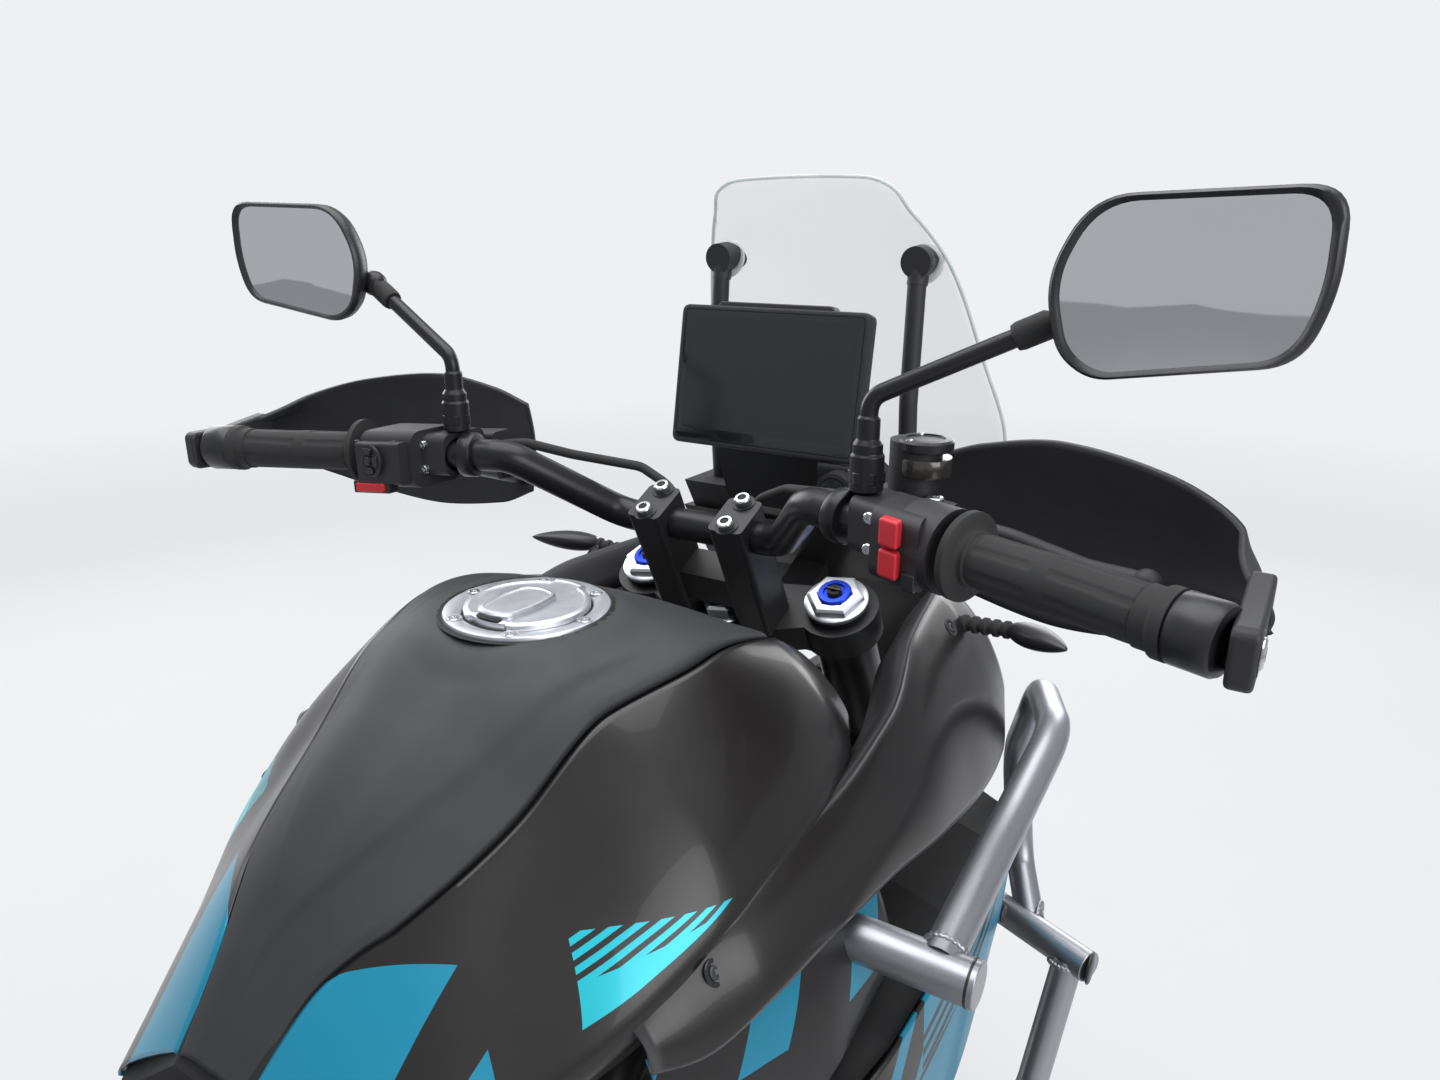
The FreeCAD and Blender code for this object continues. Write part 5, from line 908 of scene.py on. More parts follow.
for side, label in bothSides:
    piece("grip" + label, *gripMesh(side), "steering", "softRubber", "soft_rubber", ["grips"], smooth=50)
    piece("guardShell" + label, *guardMesh(side), "steering", "blackMould", "black_plastic", ["hand_guards"],
          thick=4 * mm)
    tip = alongBar(side, 20)
    axis = alongBar(side, 0) - alongBar(side, 20)
    weight = lathe([(10, 0), (20, 0.8), (21, 2.5), (21, 24), (19.5, 26.5), (13.5, 27.2), (13, 25),
                    (12.6, 24.4), (0.1, 24.4)], tip, axis, 48)
    piece("endWeight" + label, *scaled(weight), "steering", "blackSmooth", "black_plastic", smooth=35)
    endPlate = []
    face = alongBar(side, -8.6)
    for outer in (0, 14):
        endPlate.append([Vector((face.x + a, face.y + side * outer, face.z + b)) * mm
                         for a, b in ((-20, -14), (-16, -19), (24, -21), (62, -24), (68, -14), (68, 16),
                                      (60, 23), (20, 16), (-16, 16), (-20, 12))])
    piece("guardEnd" + label, *ringsMesh(endPlate), "steering", "blackMould", "black_plastic", bevel=0.003)
    boltFace = alongBar(side, -22.4)
    recess = lathe([(9.5, -1.5), (11.5, 0), (12.5, 0.6), (12.5, 1.4), (10.6, 1.4), (10.0, -0.5)], boltFace,
                   (0, side, 0), 40)
    head = lathe([(8.8, 0), (8.8, 2.2), (7.6, 3.2), (4.2, 3.4), (4.0, 1.2), (0.1, 1.0)], boltFace,
                 (0, side, 0), 40)
    # painted shade: a deep black hex stands for the shaded socket in the steel bolt head
    socket = lathe([(4.1, 1.0), (4.1, 3.5)], boltFace, (0, side, 0), 6)
    piece("guardRecess" + label, *scaled(recess), "steering", "blackSmooth", "black_plastic")
    piece("guardBolt" + label, *scaled(head), "steering", "boltSteel", "bright_steel", smooth=30)
    piece("guardSocket" + label, *scaled(socket), "steering", "deepBlack", "black_plastic")
    strutMesh = rodBetween(Vector((358, side * 226, 1120)), alongBar(side, 265, -12, 2), 6.8)
    ringMesh = lathe([(15.5, 0), (19, 0.5), (20, 2), (20, 12), (19, 13.5), (15.5, 14)], alongBar(side, 272),
                     alongBar(side, 0) - alongBar(side, 20), 40)
    arm = joined(strutMesh, ringMesh)
    piece("guardArm" + label, *scaled(arm), "steering", "barBlack", "black_frame", smooth=35)


# Fork caps, stem nut and clamp bolts

print("fork head")
steerAxis = Vector((-math.sin(math.radians(26)), 0, math.cos(math.radians(26))))
steerAhead = Vector((math.cos(math.radians(26)), 0, math.sin(math.radians(26))))
steerFoot = Vector((882.3, 0, 0))


def steerPoint(ahead, side, level):
    return steerFoot + steerAhead * ahead + Vector((0, side, 0)) + steerAxis * level


def turnedPart(name, profile, point, axis, finish, body="steering", slot=None, stands=(), sides=48, bevel=0.0,
               start=None, smooth=35):
    mesh = lathe(profile, point, axis, sides, start=start)
    return piece(name, *scaled(mesh), body, finish, slot, stands, bevel=bevel, smooth=smooth)


for side, label in bothSides:
    seat = steerPoint(32, side * 105, 1135)
    turnedPart("forkHex" + label,
               [(24, 0), (27.5, 1.5), (27.5, 9), (24.5, 11.5), (17, 12), (16.5, 9.5), (0.1, 9.5)],
               seat, steerAxis, "silverCast", slot="cast_alloy", stands=["fork_caps"], sides=6, bevel=0.0009)
    turnedPart("forkSkirt" + label, [(25, -1), (29.5, -0.4), (30, 1), (30, 3.4), (28.5, 4.4), (24, 4.6)],
               seat, steerAxis, "silverCast", slot="cast_alloy")
    turnedPart("forkDisc" + label,
               [(15.6, 9), (15.8, 13), (14.6, 14.4), (10.4, 14.6), (10, 12.5), (0.1, 12.4)], seat,
               steerAxis, "blueAnodised")
    turnedPart("forkKnob" + label, [(6.8, 11), (7.2, 15.4), (6.4, 16.6), (3.2, 16.8), (3.0, 15), (0.1, 15)],
               seat, steerAxis, "deepBlack", sides=14, bevel=0.0004)
    slit = boxMesh((0, 0, 0), (15.5, 2.4, 2.6))
    slitTurn = steerAxis.to_track_quat("Z", "Y")
    piece("forkSlit" + label, [(seat + steerAxis * 17 + slitTurn @ v) * mm for v in slit[0]], slit[1],
          "steering", "blackSmooth", "black_plastic", bevel=0.0005)
nutSeat = steerPoint(0, 0, 1128)
turnedPart("stemWasher", [(12, 0), (22, 0.2), (22.6, 1.2), (22.6, 3), (21, 4)], nutSeat, steerAxis,
           "boltSteel")
turnedPart("stemNut", [(17, 3.6), (20.2, 5), (20.2, 15.5), (16.5, 18), (14.5, 18), (11, 13), (6, 10.5),
                       (0.1, 10.5)], nutSeat,
           steerAxis, "silverCast", sides=6, bevel=0.0008)
turnedPart("stemCone", [(14.4, 17.6), (13, 15.6), (8, 12.4), (7.5, 11), (3.6, 10.8), (3.4, 13), (0.1, 13.4)],
           nutSeat, steerAxis, "boltSteel", sides=40)
for side in (1, -1):
    for ahead in (-14.5, 17.5):
        where = steerPoint(ahead, side * 43, 1254.3)
        corner = "%s_%s" % ("l" if side > 0 else "r", "f" if ahead > 0 else "b")
        turnedPart("clampBolt_" + corner,
                   [(6.8, -1), (7.4, 0), (7.4, 6.2), (6.4, 7.4), (4.0, 7.5), (3.7, 4.0), (0.1, 3.6)], where,
                   steerAxis, "boltSteel", slot="bright_steel", sides=32)
        # painted shade: a deep black hex stands for the shaded socket in each steel bolt head
        turnedPart("clampSocket_" + corner,
                   [(3.6, 4.2), (3.6, 7.0)], where, steerAxis, "deepBlack", sides=6)
        turnedPart("clampCounter_" + corner,
                   [(8.2, -0.6), (10.2, 0.1), (10.4, 0.9), (8.4, 1.0)], where, steerAxis, "barBlack",
                   sides=32)


# Fuel cap: ring with recessed bolts, notched lid and a latch flap

print("fuel cap")
capCentre = Vector((capX, 0, 0))
turnedPart("fillerRing", [(46.8, 1090), (46.8, 1105.4), (47.6, 1106.4), (57.4, 1107.6), (59.4, 1107),
                          (60, 1105.6), (60, 1098)],
           capCentre, (0, 0, 1), "silverCast", "chassis", "cast_alloy", ["filler_ring"], sides=128,
           start=(1, 0, 0))
# painted shade: a deep black ring stands for the shaded groove round the filler ring
turnedPart("fillerGrooveShade", [(60.2, 1102.5), (61, 1104.6), (62.4, 1105.2), (64.5, 1104.6)], capCentre,
           (0, 0, 1), "deepBlack", "chassis", sides=96)
for k in range(6):
    turn = math.radians(30 + 60 * k)
    spot = capCentre + Vector((math.cos(turn) * 53, math.sin(turn) * 53, 1107.0))
    turnedPart("capRecess%d" % k,
               [(4.9, -0.5), (5.6, 0.25), (5.9, 0.5), (5.9, 0.62), (5.0, 0.62), (4.7, 0.2)], spot, (0, 0, 1),
               "silverCast", "chassis", sides=32)
    turnedPart("capBolt%d" % k, [(4.3, -0.6), (4.3, 0.5), (3.8, 1.0), (2.2, 1.0), (2.0, 0.1), (0.1, 0.1)],
               spot, (0, 0, 1), "boltSteel", "chassis", sides=24)


lidRadius = 46.0


def lidMesh():
    # a disc with a flat-sided tongue to the hinge and a stepped crown
    rings = []
    for shrink, level in ((0.965, 1097), (0.985, 1108.0), (0.975, 1109.6), (0.93, 1110.6), (0.90, 1110.8),
                          (0.88, 1110.0), (0.86, 1109.9), (0.70, 1110.2), (0.3, 1110.6), (0.02, 1110.7)):
        ring = []
        for k in range(120):
            turn = 2 * math.pi * k / 120
            radius = lidRadius
            if abs(math.sin(turn)) < 0.32 and math.cos(turn) > 0:
                radius += 5.5 * smoothStep(0.32 - abs(math.sin(turn)), 0, 0.05)
            if abs(math.sin(turn)) < 0.42 and math.cos(turn) < 0:
                radius -= 3.0 * smoothStep(0.42 - abs(math.sin(turn)), 0, 0.05)
            radius *= shrink
            ring.append((capCentre + Vector((math.cos(turn) * radius, math.sin(turn) * radius, level))) * mm)
        rings.append(ring)
    return ringsMesh(rings)


piece("capLid", *lidMesh(), "fuel_cap_lid", "silverCast", "cast_alloy", ["fuel_cap_lid"], smooth=30)
flapOutline = roundedOutline([(-36, -15), (-8, -19), (16, -15), (20, 0), (16, 15), (-8, 19), (-36, 15),
                              (-40, 0)],
                             [6, 10, 6, 6, 6, 10, 6, 6], 6)
flapRings = [[(capCentre + Vector((p.x * s + (1 - s) * -8, p.y * s, z))) * mm for p in flapOutline]
             for s, z in ((1.0, 1110.2), (1.0, 1113.4), (0.96, 1114.6), (0.88, 1114.9), (0.84, 1114.2),
                          (0.4, 1114.4))]
piece("capLatch", *ringsMesh(flapRings), "fuel_cap_lid", "silverCast", smooth=30)
# painted shade: a deep black pocket stands for the shaded thumb hole under the latch flap's end
holeShadeRings = [[(capCentre + Vector((-36 + p.x * 0.16 * s, p.y * 0.62 * s, z))) * mm for p in flapOutline]
               for s, z in ((1.0, 1110.6), (1.0, 1111.3), (0.7, 1111.3))]
piece("capThumbHoleShade", *ringsMesh(holeShadeRings), "fuel_cap_lid", "deepBlack")


# Crash bars: weld beads and black end caps

print("crash bars")


def weldBead(name, centre, axis, radius, thickness=2.6):
    axis = Vector(axis).normalized()
    across = axis.orthogonal().normalized()
    beside = axis.cross(across)
    rings = []
    for k in range(72):
        turn = 2 * math.pi * k / 72
        out = across * math.cos(turn) + beside * math.sin(turn)
        middle = Vector(centre) + out * radius
        swell = thickness * (1 + 0.16 * math.sin(turn * 24))
        ring = []
        for n in range(8):
            a = 2 * math.pi * n / 8
            sway = math.sin(a) * swell + 0.6 * math.sin(turn * 24 + 1)
            ring.append((middle + out * math.cos(a) * swell + axis * sway) * mm)
        rings.append(ring)
    verts, faces = ringsMesh(rings, caps=False, loop=True)
    piece(name, verts, faces, "chassis", "crashGrey", "grey_tube", smooth=60)


for side, label in bothSides:
    for name, radius, (x, y, z) in (("barCapUpper", 16, (156, 330, 903)),
                                    ("barCapLower", 15, (462, 356, 703))):
        turnedPart(name + label,
                   [(radius - 0.8, -0.6), (radius + 0.4, 0.2), (radius + 0.4, 1.6), (radius - 1.0, 2.6),
                    (0.1, 3.0)], (x, side * y, z), (0, side, 0), "blackSmooth", "chassis", "black_plastic")
    weldBead("weldUpper" + label, (168, side * 308.5, 909), (1, -side * 0.03, 0.27), 14.4)
    weldBead("weldLower" + label, (467, side * 334, 694), (0.3, 0, 1), 14.6)
    weldBead("weldStub" + label, (506, side * 296, 703.6), (0.05, side, 0), 15.2)


# Turn signals: leaf-shaped lamps on ribbed rubber stems

def signalMesh(root, tip, width, height):
    root, tip = Vector(root), Vector(tip)
    axis = tip - root
    length = axis.length
    axis.normalize()
    up = Vector((0, 0, 1))
    up = (up - axis * up.dot(axis)).normalized()
    beside = axis.cross(up)
    rings = []
    for i in range(26):
        t = i / 25
        swell = (math.sin(math.pi * min(1, t * 0.86 + 0.14) ** 0.8)) ** 0.7 if t < 1 else 0.02
        rings.append([(root + axis * (length * t) + beside * (math.cos(a) * width * swell)
                       + up * (math.copysign(abs(math.sin(a)) ** 0.8, math.sin(a)) * height * swell)) * mm
                      for a in (2 * math.pi * n / 28 for n in range(28))])
    return ringsMesh(rings)


def stemMesh(root, tip, radius):
    root, tip = Vector(root), Vector(tip)
    length = (tip - root).length
    profile = [(radius * (1.18 if (k // 3) % 2 else 0.92), length * k / 36) for k in range(37)]
    return lathe(profile, root, tip - root, 28)


for side, label in bothSides:
    for name, stemRoot, lampRoot, lampTip in (
            ("Front", (506, side * 192, 1001), (499, side * 250, 1008), (451, side * 306, 1019)),
            ("Rear", (-962, side * 64, 787), (-967, side * 104, 790), (-975, side * 176, 794))):
        root, tip = Vector(lampRoot), Vector(lampTip)
        near, far = (9, 7) if name == "Front" else (-7, -5)
        stem = stemMesh(stemRoot, root.lerp(tip, 0.10), 7.2)
        piece("signalStem%s%s" % (name, label), *scaled(stem), "chassis", "softRubber", "soft_rubber")
        piece("signalLamp%s%s" % (name, label), *signalMesh(root, tip, 15, 11), "chassis", "blackSmooth",
              "black_plastic", ["turn_signals"], smooth=60)
        lens = signalMesh(root.lerp(tip, 0.16) + Vector((near, 0, 0)),
                          root.lerp(tip, 0.94) + Vector((far, 0, 0)), 9, 8)
        piece("signalLens%s%s" % (name, label), *lens, "chassis", "smokyCup", "lamp_lens", smooth=60)


# Side fairings, lower tank shells and their panels

print("fairings")
fairingPlaces = [(566, 158, 1016, 226, 912), (490, 172, 1034, 250, 886), (390, 190, 1032, 260, 894),
                 (290, 212, 1004, 262, 912), (200, 214, 988, 256, 926), (120, 211, 982, 250, 930),
                 (60, 208, 968, 240, 922), (10, 192, 944, 216, 902), (-14, 186, 930, 200, 904)]
fairingLines = smoothLines(fairingPlaces)


def fairingMesh(side):
    verts = []
    for i in range(90):
        x = -14 + 580 * i / 89
        topY, topZ, lowY, lowZ = (float(line(x)) for line in fairingLines)
        top, low = Vector((topY, topZ)), Vector((lowY, lowZ))
        across = (low - top).normalized()
        out = Vector((-across.y, across.x))
        if out.x < 0:
            out = -out
        for j in range(30):
            t = j / 29
            bulge = 5 + 7 * smoothStep(x, 0, 300)
            p = top.lerp(low, t) + out * (bulge * math.sin(math.pi * t) ** 0.8
                                          - 3.0 * (1 - smoothStep(t, 0, 0.05)))
            verts.append(Vector((x, side * p.x, p.y)) * mm)
    return verts, gridFaces(90, 30)


def fairingFinish():
    made = Finish("fairingPaint", Metallic=0.22)
    # painted highlight: light grey along the fairing's convex edges
    satinPaint(made, made.edgeHighlight(shade(made, "dark", 7.0), (0.45, 0.46, 0.48), 0.5), 0.28, 0.07, 0.12)


def lowerFinish():
    # teal with thin dark stripes in front and broad ones behind
    made = Finish("lowerPaint", Metallic=0.35)
    x, y, z = made.axes()
    dark, teal = shade(made, "lower", 7.0), shade(made, "teal", 6.0)
    slant = z - x * 0.30
    thin = (slant * 150.0).pingpong(1.0) > 0.5
    thin = thin * ((slant - 0.690) > 0) * ((0.745 - slant) > 0) * ((x - 0.20) > 0)
    broad = (((z - x * 1.6) * 22.0).pingpong(1.0) > 0.35) * ((0.20 - x) > 0)
    zone = ((0.868 - z) > 0) * (1.0 - thin) * (1.0 - broad)
    satinPaint(made, made.mix(zone.least(1.0), dark, teal), 0.34, 0.08, 0.15)


def bodyBolt(name, point, out):
    radius = 5.2
    turnedPart(name, [(radius + 2.6, -1.0), (radius + 3.2, 0.2), (radius + 2.8, 0.9), (radius + 0.6, 0.9),
                      (radius, -0.4), (0.1, -0.4)], point, out, "blackSmooth", "chassis", sides=32)
    turnedPart(name + "Head", [(radius - 0.8, -0.5), (radius - 0.8, 0.8), (radius - 1.6, 1.5), (2.0, 1.6),
                               (1.8, 0.6), (0.1, 0.5)],
               point, out, "engineGrey", "chassis", sides=24)


fairingFinish()
lowerFinish()
lobePlaces = [(505, 258, 744, 846), (410, 276, 730, 866), (290, 284, 664, 868), (160, 278, 632, 852),
              (40, 240, 690, 806)]
lobeOuter, lobeLow, lobeHigh = smoothLines(lobePlaces)


def lowerMesh(side):
    verts = []
    for i in range(90):
        x = 52 + 450 * i / 89
        outer, low, high = float(lobeOuter(x)), float(lobeLow(x)) + 16, float(lobeHigh(x)) - 26
        for j in range(36):
            t = j / 35
            z = low + (high - low) * t
            y = outer + 3.5 + 3.0 * math.sin(math.pi * t) + 1.8 * smoothStep(t, 0.62, 0.66)
            y -= smoothStep(1 - t, 0.97, 1.0)
            verts.append(Vector((x, side * y, z)) * mm)
    return verts, gridFaces(90, 36)


flankPlaces = [(196, 240, 934, 262, 856), (120, 236, 930, 262, 838), (50, 222, 918, 240, 800),
               (-10, 194, 908, 222, 790)]
flankLines = smoothLines(flankPlaces)


def flankMesh(side):
    # the recessed panel under the fairing's rear end
    verts = []
    for i in range(50):
        x = -10 + 206 * i / 49
        topY, topZ, lowY, lowZ = (float(line(x)) for line in flankLines)
        for j in range(20):
            t = j / 19
            y = topY + (lowY - topY) * t + 5 * math.sin(math.pi * t)
            verts.append(Vector((x, side * y, topZ + (lowZ - topZ) * t)) * mm)
    return verts, gridFaces(50, 20)


def flankFinish():
    # dark, with curved teal slashes
    made = Finish("flankPaint", Metallic=0.35)
    x, y, z = made.axes()
    dark, teal = shade(made, "lower", 7.0), shade(made, "teal", 6.0)
    lean = x - (z - 0.86) * 0.55
    slash = ((lean * 21.0).pingpong(1.0) > 0.60) * ((z - 0.872) > 0)
    satinPaint(made, made.mix(slash, dark, teal), 0.32, 0.08, 0.15)


def fairingLip(side):
    # turned-in inner edge that closes the gap to the tank
    verts = []
    for i in range(60):
        x = 40 + 480 * i / 59
        topY, topZ = float(fairingLines[0](x)), float(fairingLines[1](x))
        for inward, down in ((0, 1), (4, 1.5), (9, 5), (14, 12), (22, 24), (30, 38)):
            verts.append(Vector((x, side * (topY - inward), topZ - down)) * mm)
    return verts, gridFaces(60, 6)


flankFinish()
for side, label in bothSides:
    piece("flankPanel" + label, *flankMesh(side), "chassis", "flankPaint", "teal_panel", thick=3 * mm)
    piece("fairingLip" + label, *fairingLip(side), "chassis", "blackMould", "black_plastic", thick=2.5 * mm)
    piece("sideFairing" + label, *fairingMesh(side), "chassis", "fairingPaint", "dark_panel",
          ["side_fairings"], thick=4 * mm)
    piece("lowerPanel" + label, *lowerMesh(side), "chassis", "lowerPaint", "teal_panel", ["lower_panels"],
          thick=3.2 * mm)
    for k, (x, z, reach) in enumerate(((470, 830, 5), (300, 836, 5), (120, 812, 5), (430, 752, 5))):
        bodyBolt("lowerBolt%d%s" % (k, label),
                 Vector((x, side * (float(lobeOuter(x)) + 5.8 + reach * 0.2), z)), (0, side, 0))
    bodyBolt("fairingBolt" + label, Vector((440, side * 206, 1022)), (0, side * 0.8, 0.6))
    bodyBolt("shoulderBolt" + label, Vector((34, side * 212, 946)), (0, side * 0.85, 0.5))


# Crash bars with their wide bends

print("bent tubes")


def bentTube(name, points, reach, radius):
    # straight runs joined by bends that begin the given distance from each corner
    line = [Vector(points[0])]
    for before, corner, after in zip(points, points[1:], points[2:]):
        before, corner, after = Vector(before), Vector(corner), Vector(after)
        for other in (before, after):
            span = (other - corner).length
            spot = corner.lerp(other, min(reach, span * 0.48) / span)
            line += [spot, corner] if other is before else [spot]
    line.append(Vector(points[-1]))
    cableCurve(name, [p * mm for p in line], radius * mm, "chassis", "crashGrey", "grey_tube", fine=9)


for side, label in bothSides:
    for name, start, end, radius, stands in (("crashStub", (156, 130, 903), (156, 336, 903), 16,
                                              ["crash_bars"]),
                                             ("crashLowStub", (512, 240, 703), (462, 356, 703), 15, [])):
        mesh = rodBetween((start[0], side * start[1], start[2]), (end[0], side * end[1], end[2]), radius, 40)
        piece(name + label, *scaled(mesh), "chassis", "crashGrey", "grey_tube", stands, bevel=0.001)
    bentTube("crashUpper" + label, [(158, side * 308, 908), (392, side * 316, 972), (524, side * 272, 944),
                                    (566, side * 244, 850), (548, side * 262, 740), (500, side * 290, 704)],
             62, 14)
    bentTube("crashLower" + label, [(467, side * 336, 700), (420, side * 322, 560), (372, side * 240, 468),
                                    (302, side * 136, 446)], 50, 14)


# Padded seats

print("seats")
seatValues = {
    "rider": {"node": "rider_seat",
              "stations": [(-176, 62, 66, 838, 878), (-215, 92, 104, 824, 866), (-280, 124, 140, 816, 864),
                           (-350, 140, 152, 814, 872), (-420, 136, 152, 820, 888),
                           (-468, 118, 132, 836, 896)]},
    "pillion": {"node": "pillion_seat", "stations": [(-478, 122, 136, 874, 906), (-540, 132, 147, 874, 926),
                                                     (-610, 130, 146, 874, 936), (-680, 118, 136, 874, 940),
                                                     (-738, 84, 104, 874, 938)]}}


def padRings(stations):
    first, last = stations[0][0], stations[-1][0]
    lines = smoothLines(stations)
    rings = []
    count = 26
    for i in range(count):
        x = first + (last - first) * i / (count - 1)
        top, low, floor, high = (float(line(x)) for line in lines)
        shrink = 1 - 0.10 * (1 - math.sin(math.pi * min(1, max(0, (i + 0.6) / count)))) ** 3
        ring = []
        for k in range(48):
            turn = 2 * math.pi * k / 48
            c, s = math.cos(turn), math.sin(turn)
            half = top + (low - top) * (0.5 - 0.5 * s)
            y = half * math.copysign(abs(c) ** 0.45, c) * shrink
            middle, tall = (floor + high) / 2, (high - floor) / 2
            z = middle + tall * math.copysign(abs(s) ** 0.55, s)
            ring.append(Vector((x, y, z)) * mm)
        rings.append(ring)
    return ringsMesh(rings)


clothValues = {"voxel": 0.006, "base": 0.012, "pressure": 4, "quality": 4, "frames": 20, "reach": 0.004}


def inflate(thing, floorHeight):
    # cloth under slight pressure puffs the pad while its base stays fixed
    scene = bpy.context.scene
    remesh = thing.modifiers.new("voxels", "REMESH")
    remesh.mode = "VOXEL"
    remesh.voxel_size = clothValues["voxel"]
    graph = bpy.context.evaluated_depsgraph_get()
    fine = bpy.data.meshes.new_from_object(thing.evaluated_get(graph))
    thing.modifiers.clear()
    thing.data = fine
    before = np.array([v.co for v in fine.vertices])
    group = thing.vertex_groups.new(name="base")
    base = floorHeight + clothValues["base"]
    group.add([v.index for v in fine.vertices if v.co.z < base], 1.0, "ADD")
    cloth = thing.modifiers.new("cloth", "CLOTH")
    cloth.settings.use_pressure = True
    cloth.settings.uniform_pressure_force = clothValues["pressure"]
    cloth.settings.effector_weights.gravity = 0
    cloth.settings.vertex_group_mass = "base"
    cloth.settings.quality = clothValues["quality"]
    cloth.point_cache.frame_start = 1
    cloth.point_cache.frame_end = clothValues["frames"]
    for number in range(1, clothValues["frames"] + 1):
        scene.frame_set(number)
    graph = bpy.context.evaluated_depsgraph_get()
    puffed = bpy.data.meshes.new_from_object(thing.evaluated_get(graph))
    thing.modifiers.clear()
    thing.vertex_groups.clear()
    after = np.array([v.co for v in puffed.vertices])
    move = after - before
    length = np.linalg.norm(move, axis=1, keepdims=True)
    after = before + move * np.minimum(1.0, clothValues["reach"] / np.maximum(length, 1e-9))
    puffed.vertices.foreach_set("co", after.astype(np.float32).ravel())
    thing.data = puffed
    scene.frame_set(1)
    return thing


for name, values in seatValues.items():
    verts, faces = padRings(values["stations"])
    mesh = bpy.data.meshes.new(name + "Pad")
    mesh.from_pydata([tuple(v) for v in verts], [], [tuple(f) for f in faces])
    thing = bpy.data.objects.new(name + "Pad", mesh)
    bpy.context.scene.collection.objects.link(thing)
    inflate(thing, min(s[3] for s in values["stations"]) * mm)
    dress(thing, "chassis", "seatCover", "seat_cover", [values["node"]], subdivide=1)
    # a welt along each top edge
    first, last = values["stations"][0][0], values["stations"][-1][0]
    topLine, lowLine, baseLine, highLine = smoothLines(values["stations"])
    for side, label in bothSides:
        line = []
        for i in range(22):
            x = first + (last - first) * (0.03 + 0.94 * i / 21)
            high = float(highLine(x))
            line.append(Vector((x, side * (float(topLine(x)) * 0.955 + 2),
                                high - (high - float(baseLine(x))) * 0.13)) * mm)
        cableCurve(name + "Welt" + label, line, 1.5 * mm, "chassis", "softRubber", "seat_cover")


# Tyres: carcass and tread blocks

print("tyres")
tyreValues = {"front": {"axle": (772.3, 0, 347.7), "node": "front_tyre", "body": "front_wheel", "count": 46,
                        "rim": 267},
              "rear": {"axle": (-757.7, 0, 355.6), "node": "rear_tyre", "body": "rear_wheel", "count": 42,
                       "rim": 229}}
for name, values in tyreValues.items():
    low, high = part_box(values["node"])
    half = (high.y - low.y) / 2 / mm
    outer = (high.z - low.z) / 2 / mm
    inner = values["rim"] + 4
    axle = Vector(values["axle"])
    deep = 7.5 if name == "front" else 8.5

    def crownAt(y, outer=outer, half=half):
        return outer - 0.5 * y * y / (half * 1.05)

    shoulder = half * 0.86
    profile = []
    for k in range(-12, 13):
        y = shoulder * k / 12
        profile.append((crownAt(y) - deep, y))
    wall = [(crownAt(shoulder) - deep - 6, 0.95), (crownAt(shoulder) - deep - 22, 1.0),
            ((crownAt(shoulder) + inner) / 2, 0.98), (inner + 14, 0.86), (inner + 3, 0.74), (inner, 0.66)]
    profile = [(r, -half * w) for r, w in reversed(wall)] + profile + [(r, half * w) for r, w in wall]
    verts, faces = lathe(profile, axle, (0, 1, 0), 144, loop=True)
    piece(name + "Carcass", [v * mm for v in verts], faces, values["body"], "tyreRubber", "tyre_rubber",
          [values["node"]], smooth=50)
    blocks = []
    for k in range(values["count"]):
        for lane, (where, wide, long, skew, shift) in enumerate((
                (-0.14, 0.24, 0.66, 0.30, 0.0), (0.14, 0.24, 0.66, -0.30, 0.5),
                                                                 (-0.46, 0.26, 0.60, -0.25, 0.35),
                (0.46, 0.26, 0.60, 0.25, 0.85), (-0.77, 0.22, 0.58, 0.0, 0.0), (0.77, 0.22, 0.58, 0.0, 0.5))):
            turn = 2 * math.pi * (k + shift) / values["count"]
            step = 2 * math.pi / values["count"] * long
            base = []
            for level, pinch in ((-deep - 2, 1.06), (-0.3, 0.94)):
                for a, b in ((-1, -1), (1, -1), (1, 1), (-1, 1)):
                    y = half * (where + wide / 2 * b * pinch)
                    angle = turn + step / 2 * a * pinch + skew * step * b * 0.5
                    r = crownAt(y) + level
                    base.append(Vector((axle.x + r * math.sin(angle), y, axle.z + r * math.cos(angle))) * mm)
            blocks.append((base, [(0, 1, 2, 3), (7, 6, 5, 4), (0, 4, 5, 1), (1, 5, 6, 2), (2, 6, 7, 3),
                                  (3, 7, 4, 0)]))
    piece(name + "Tread", *joined(*blocks), values["body"], "tyreRubber", "tyre_rubber", bevel=0.0007,
          smooth=30)


# Switchgear, levers and display

print("controls")


def boxOnBar(name, side, far, near, back, front, low, high, finish, bevel=0.0025, stands=(),
             slot="black_plastic"):
    corners = []
    for distance in (far, near):
        for ahead, up in ((back, low), (front, low), (front, high), (back, high)):
            corners.append(alongBar(side, distance, up, ahead) * mm)
    faces = [(0, 1, 2, 3), (7, 6, 5, 4), (0, 4, 5, 1), (1, 5, 6, 2), (2, 6, 7, 3), (3, 7, 4, 0)]
    return piece(name, corners, faces, "steering", finish, slot, stands, bevel=bevel)


boxOnBar("hornKey", 1, 208, 180, -39.5, -27.5, -29, -20.5, "redGloss", 0.002, ["switch_buttons"],
         "red_switch")
boxOnBar("hornBed", 1, 212, 176, -37, -26, -30.5, -19, "blackSmooth", 0.0015)
boxOnBar("stopKeyUpper", -1, 213, 197, -39.5, -29, 3, 22, "redGloss", 0.0026, slot="red_switch")
boxOnBar("stopKeyLower", -1, 213, 197, -38.5, -29, -18, 1, "redGloss", 0.0026, slot="red_switch")
boxOnBar("startKey", -1, 196, 184, -33, -27, -24, -12, "blackSmooth", 0.0016)
dpadAt = alongBar(1, 197, 0, -38)
turnedPart("dpadBase", [(15.5, 0), (15.5, 1.2), (14.6, 2.0), (12.6, 2.0), (12.0, 1.0), (0.1, 0.8)], dpadAt,
           (-1, 0, 0), "blackSmooth", sides=40)
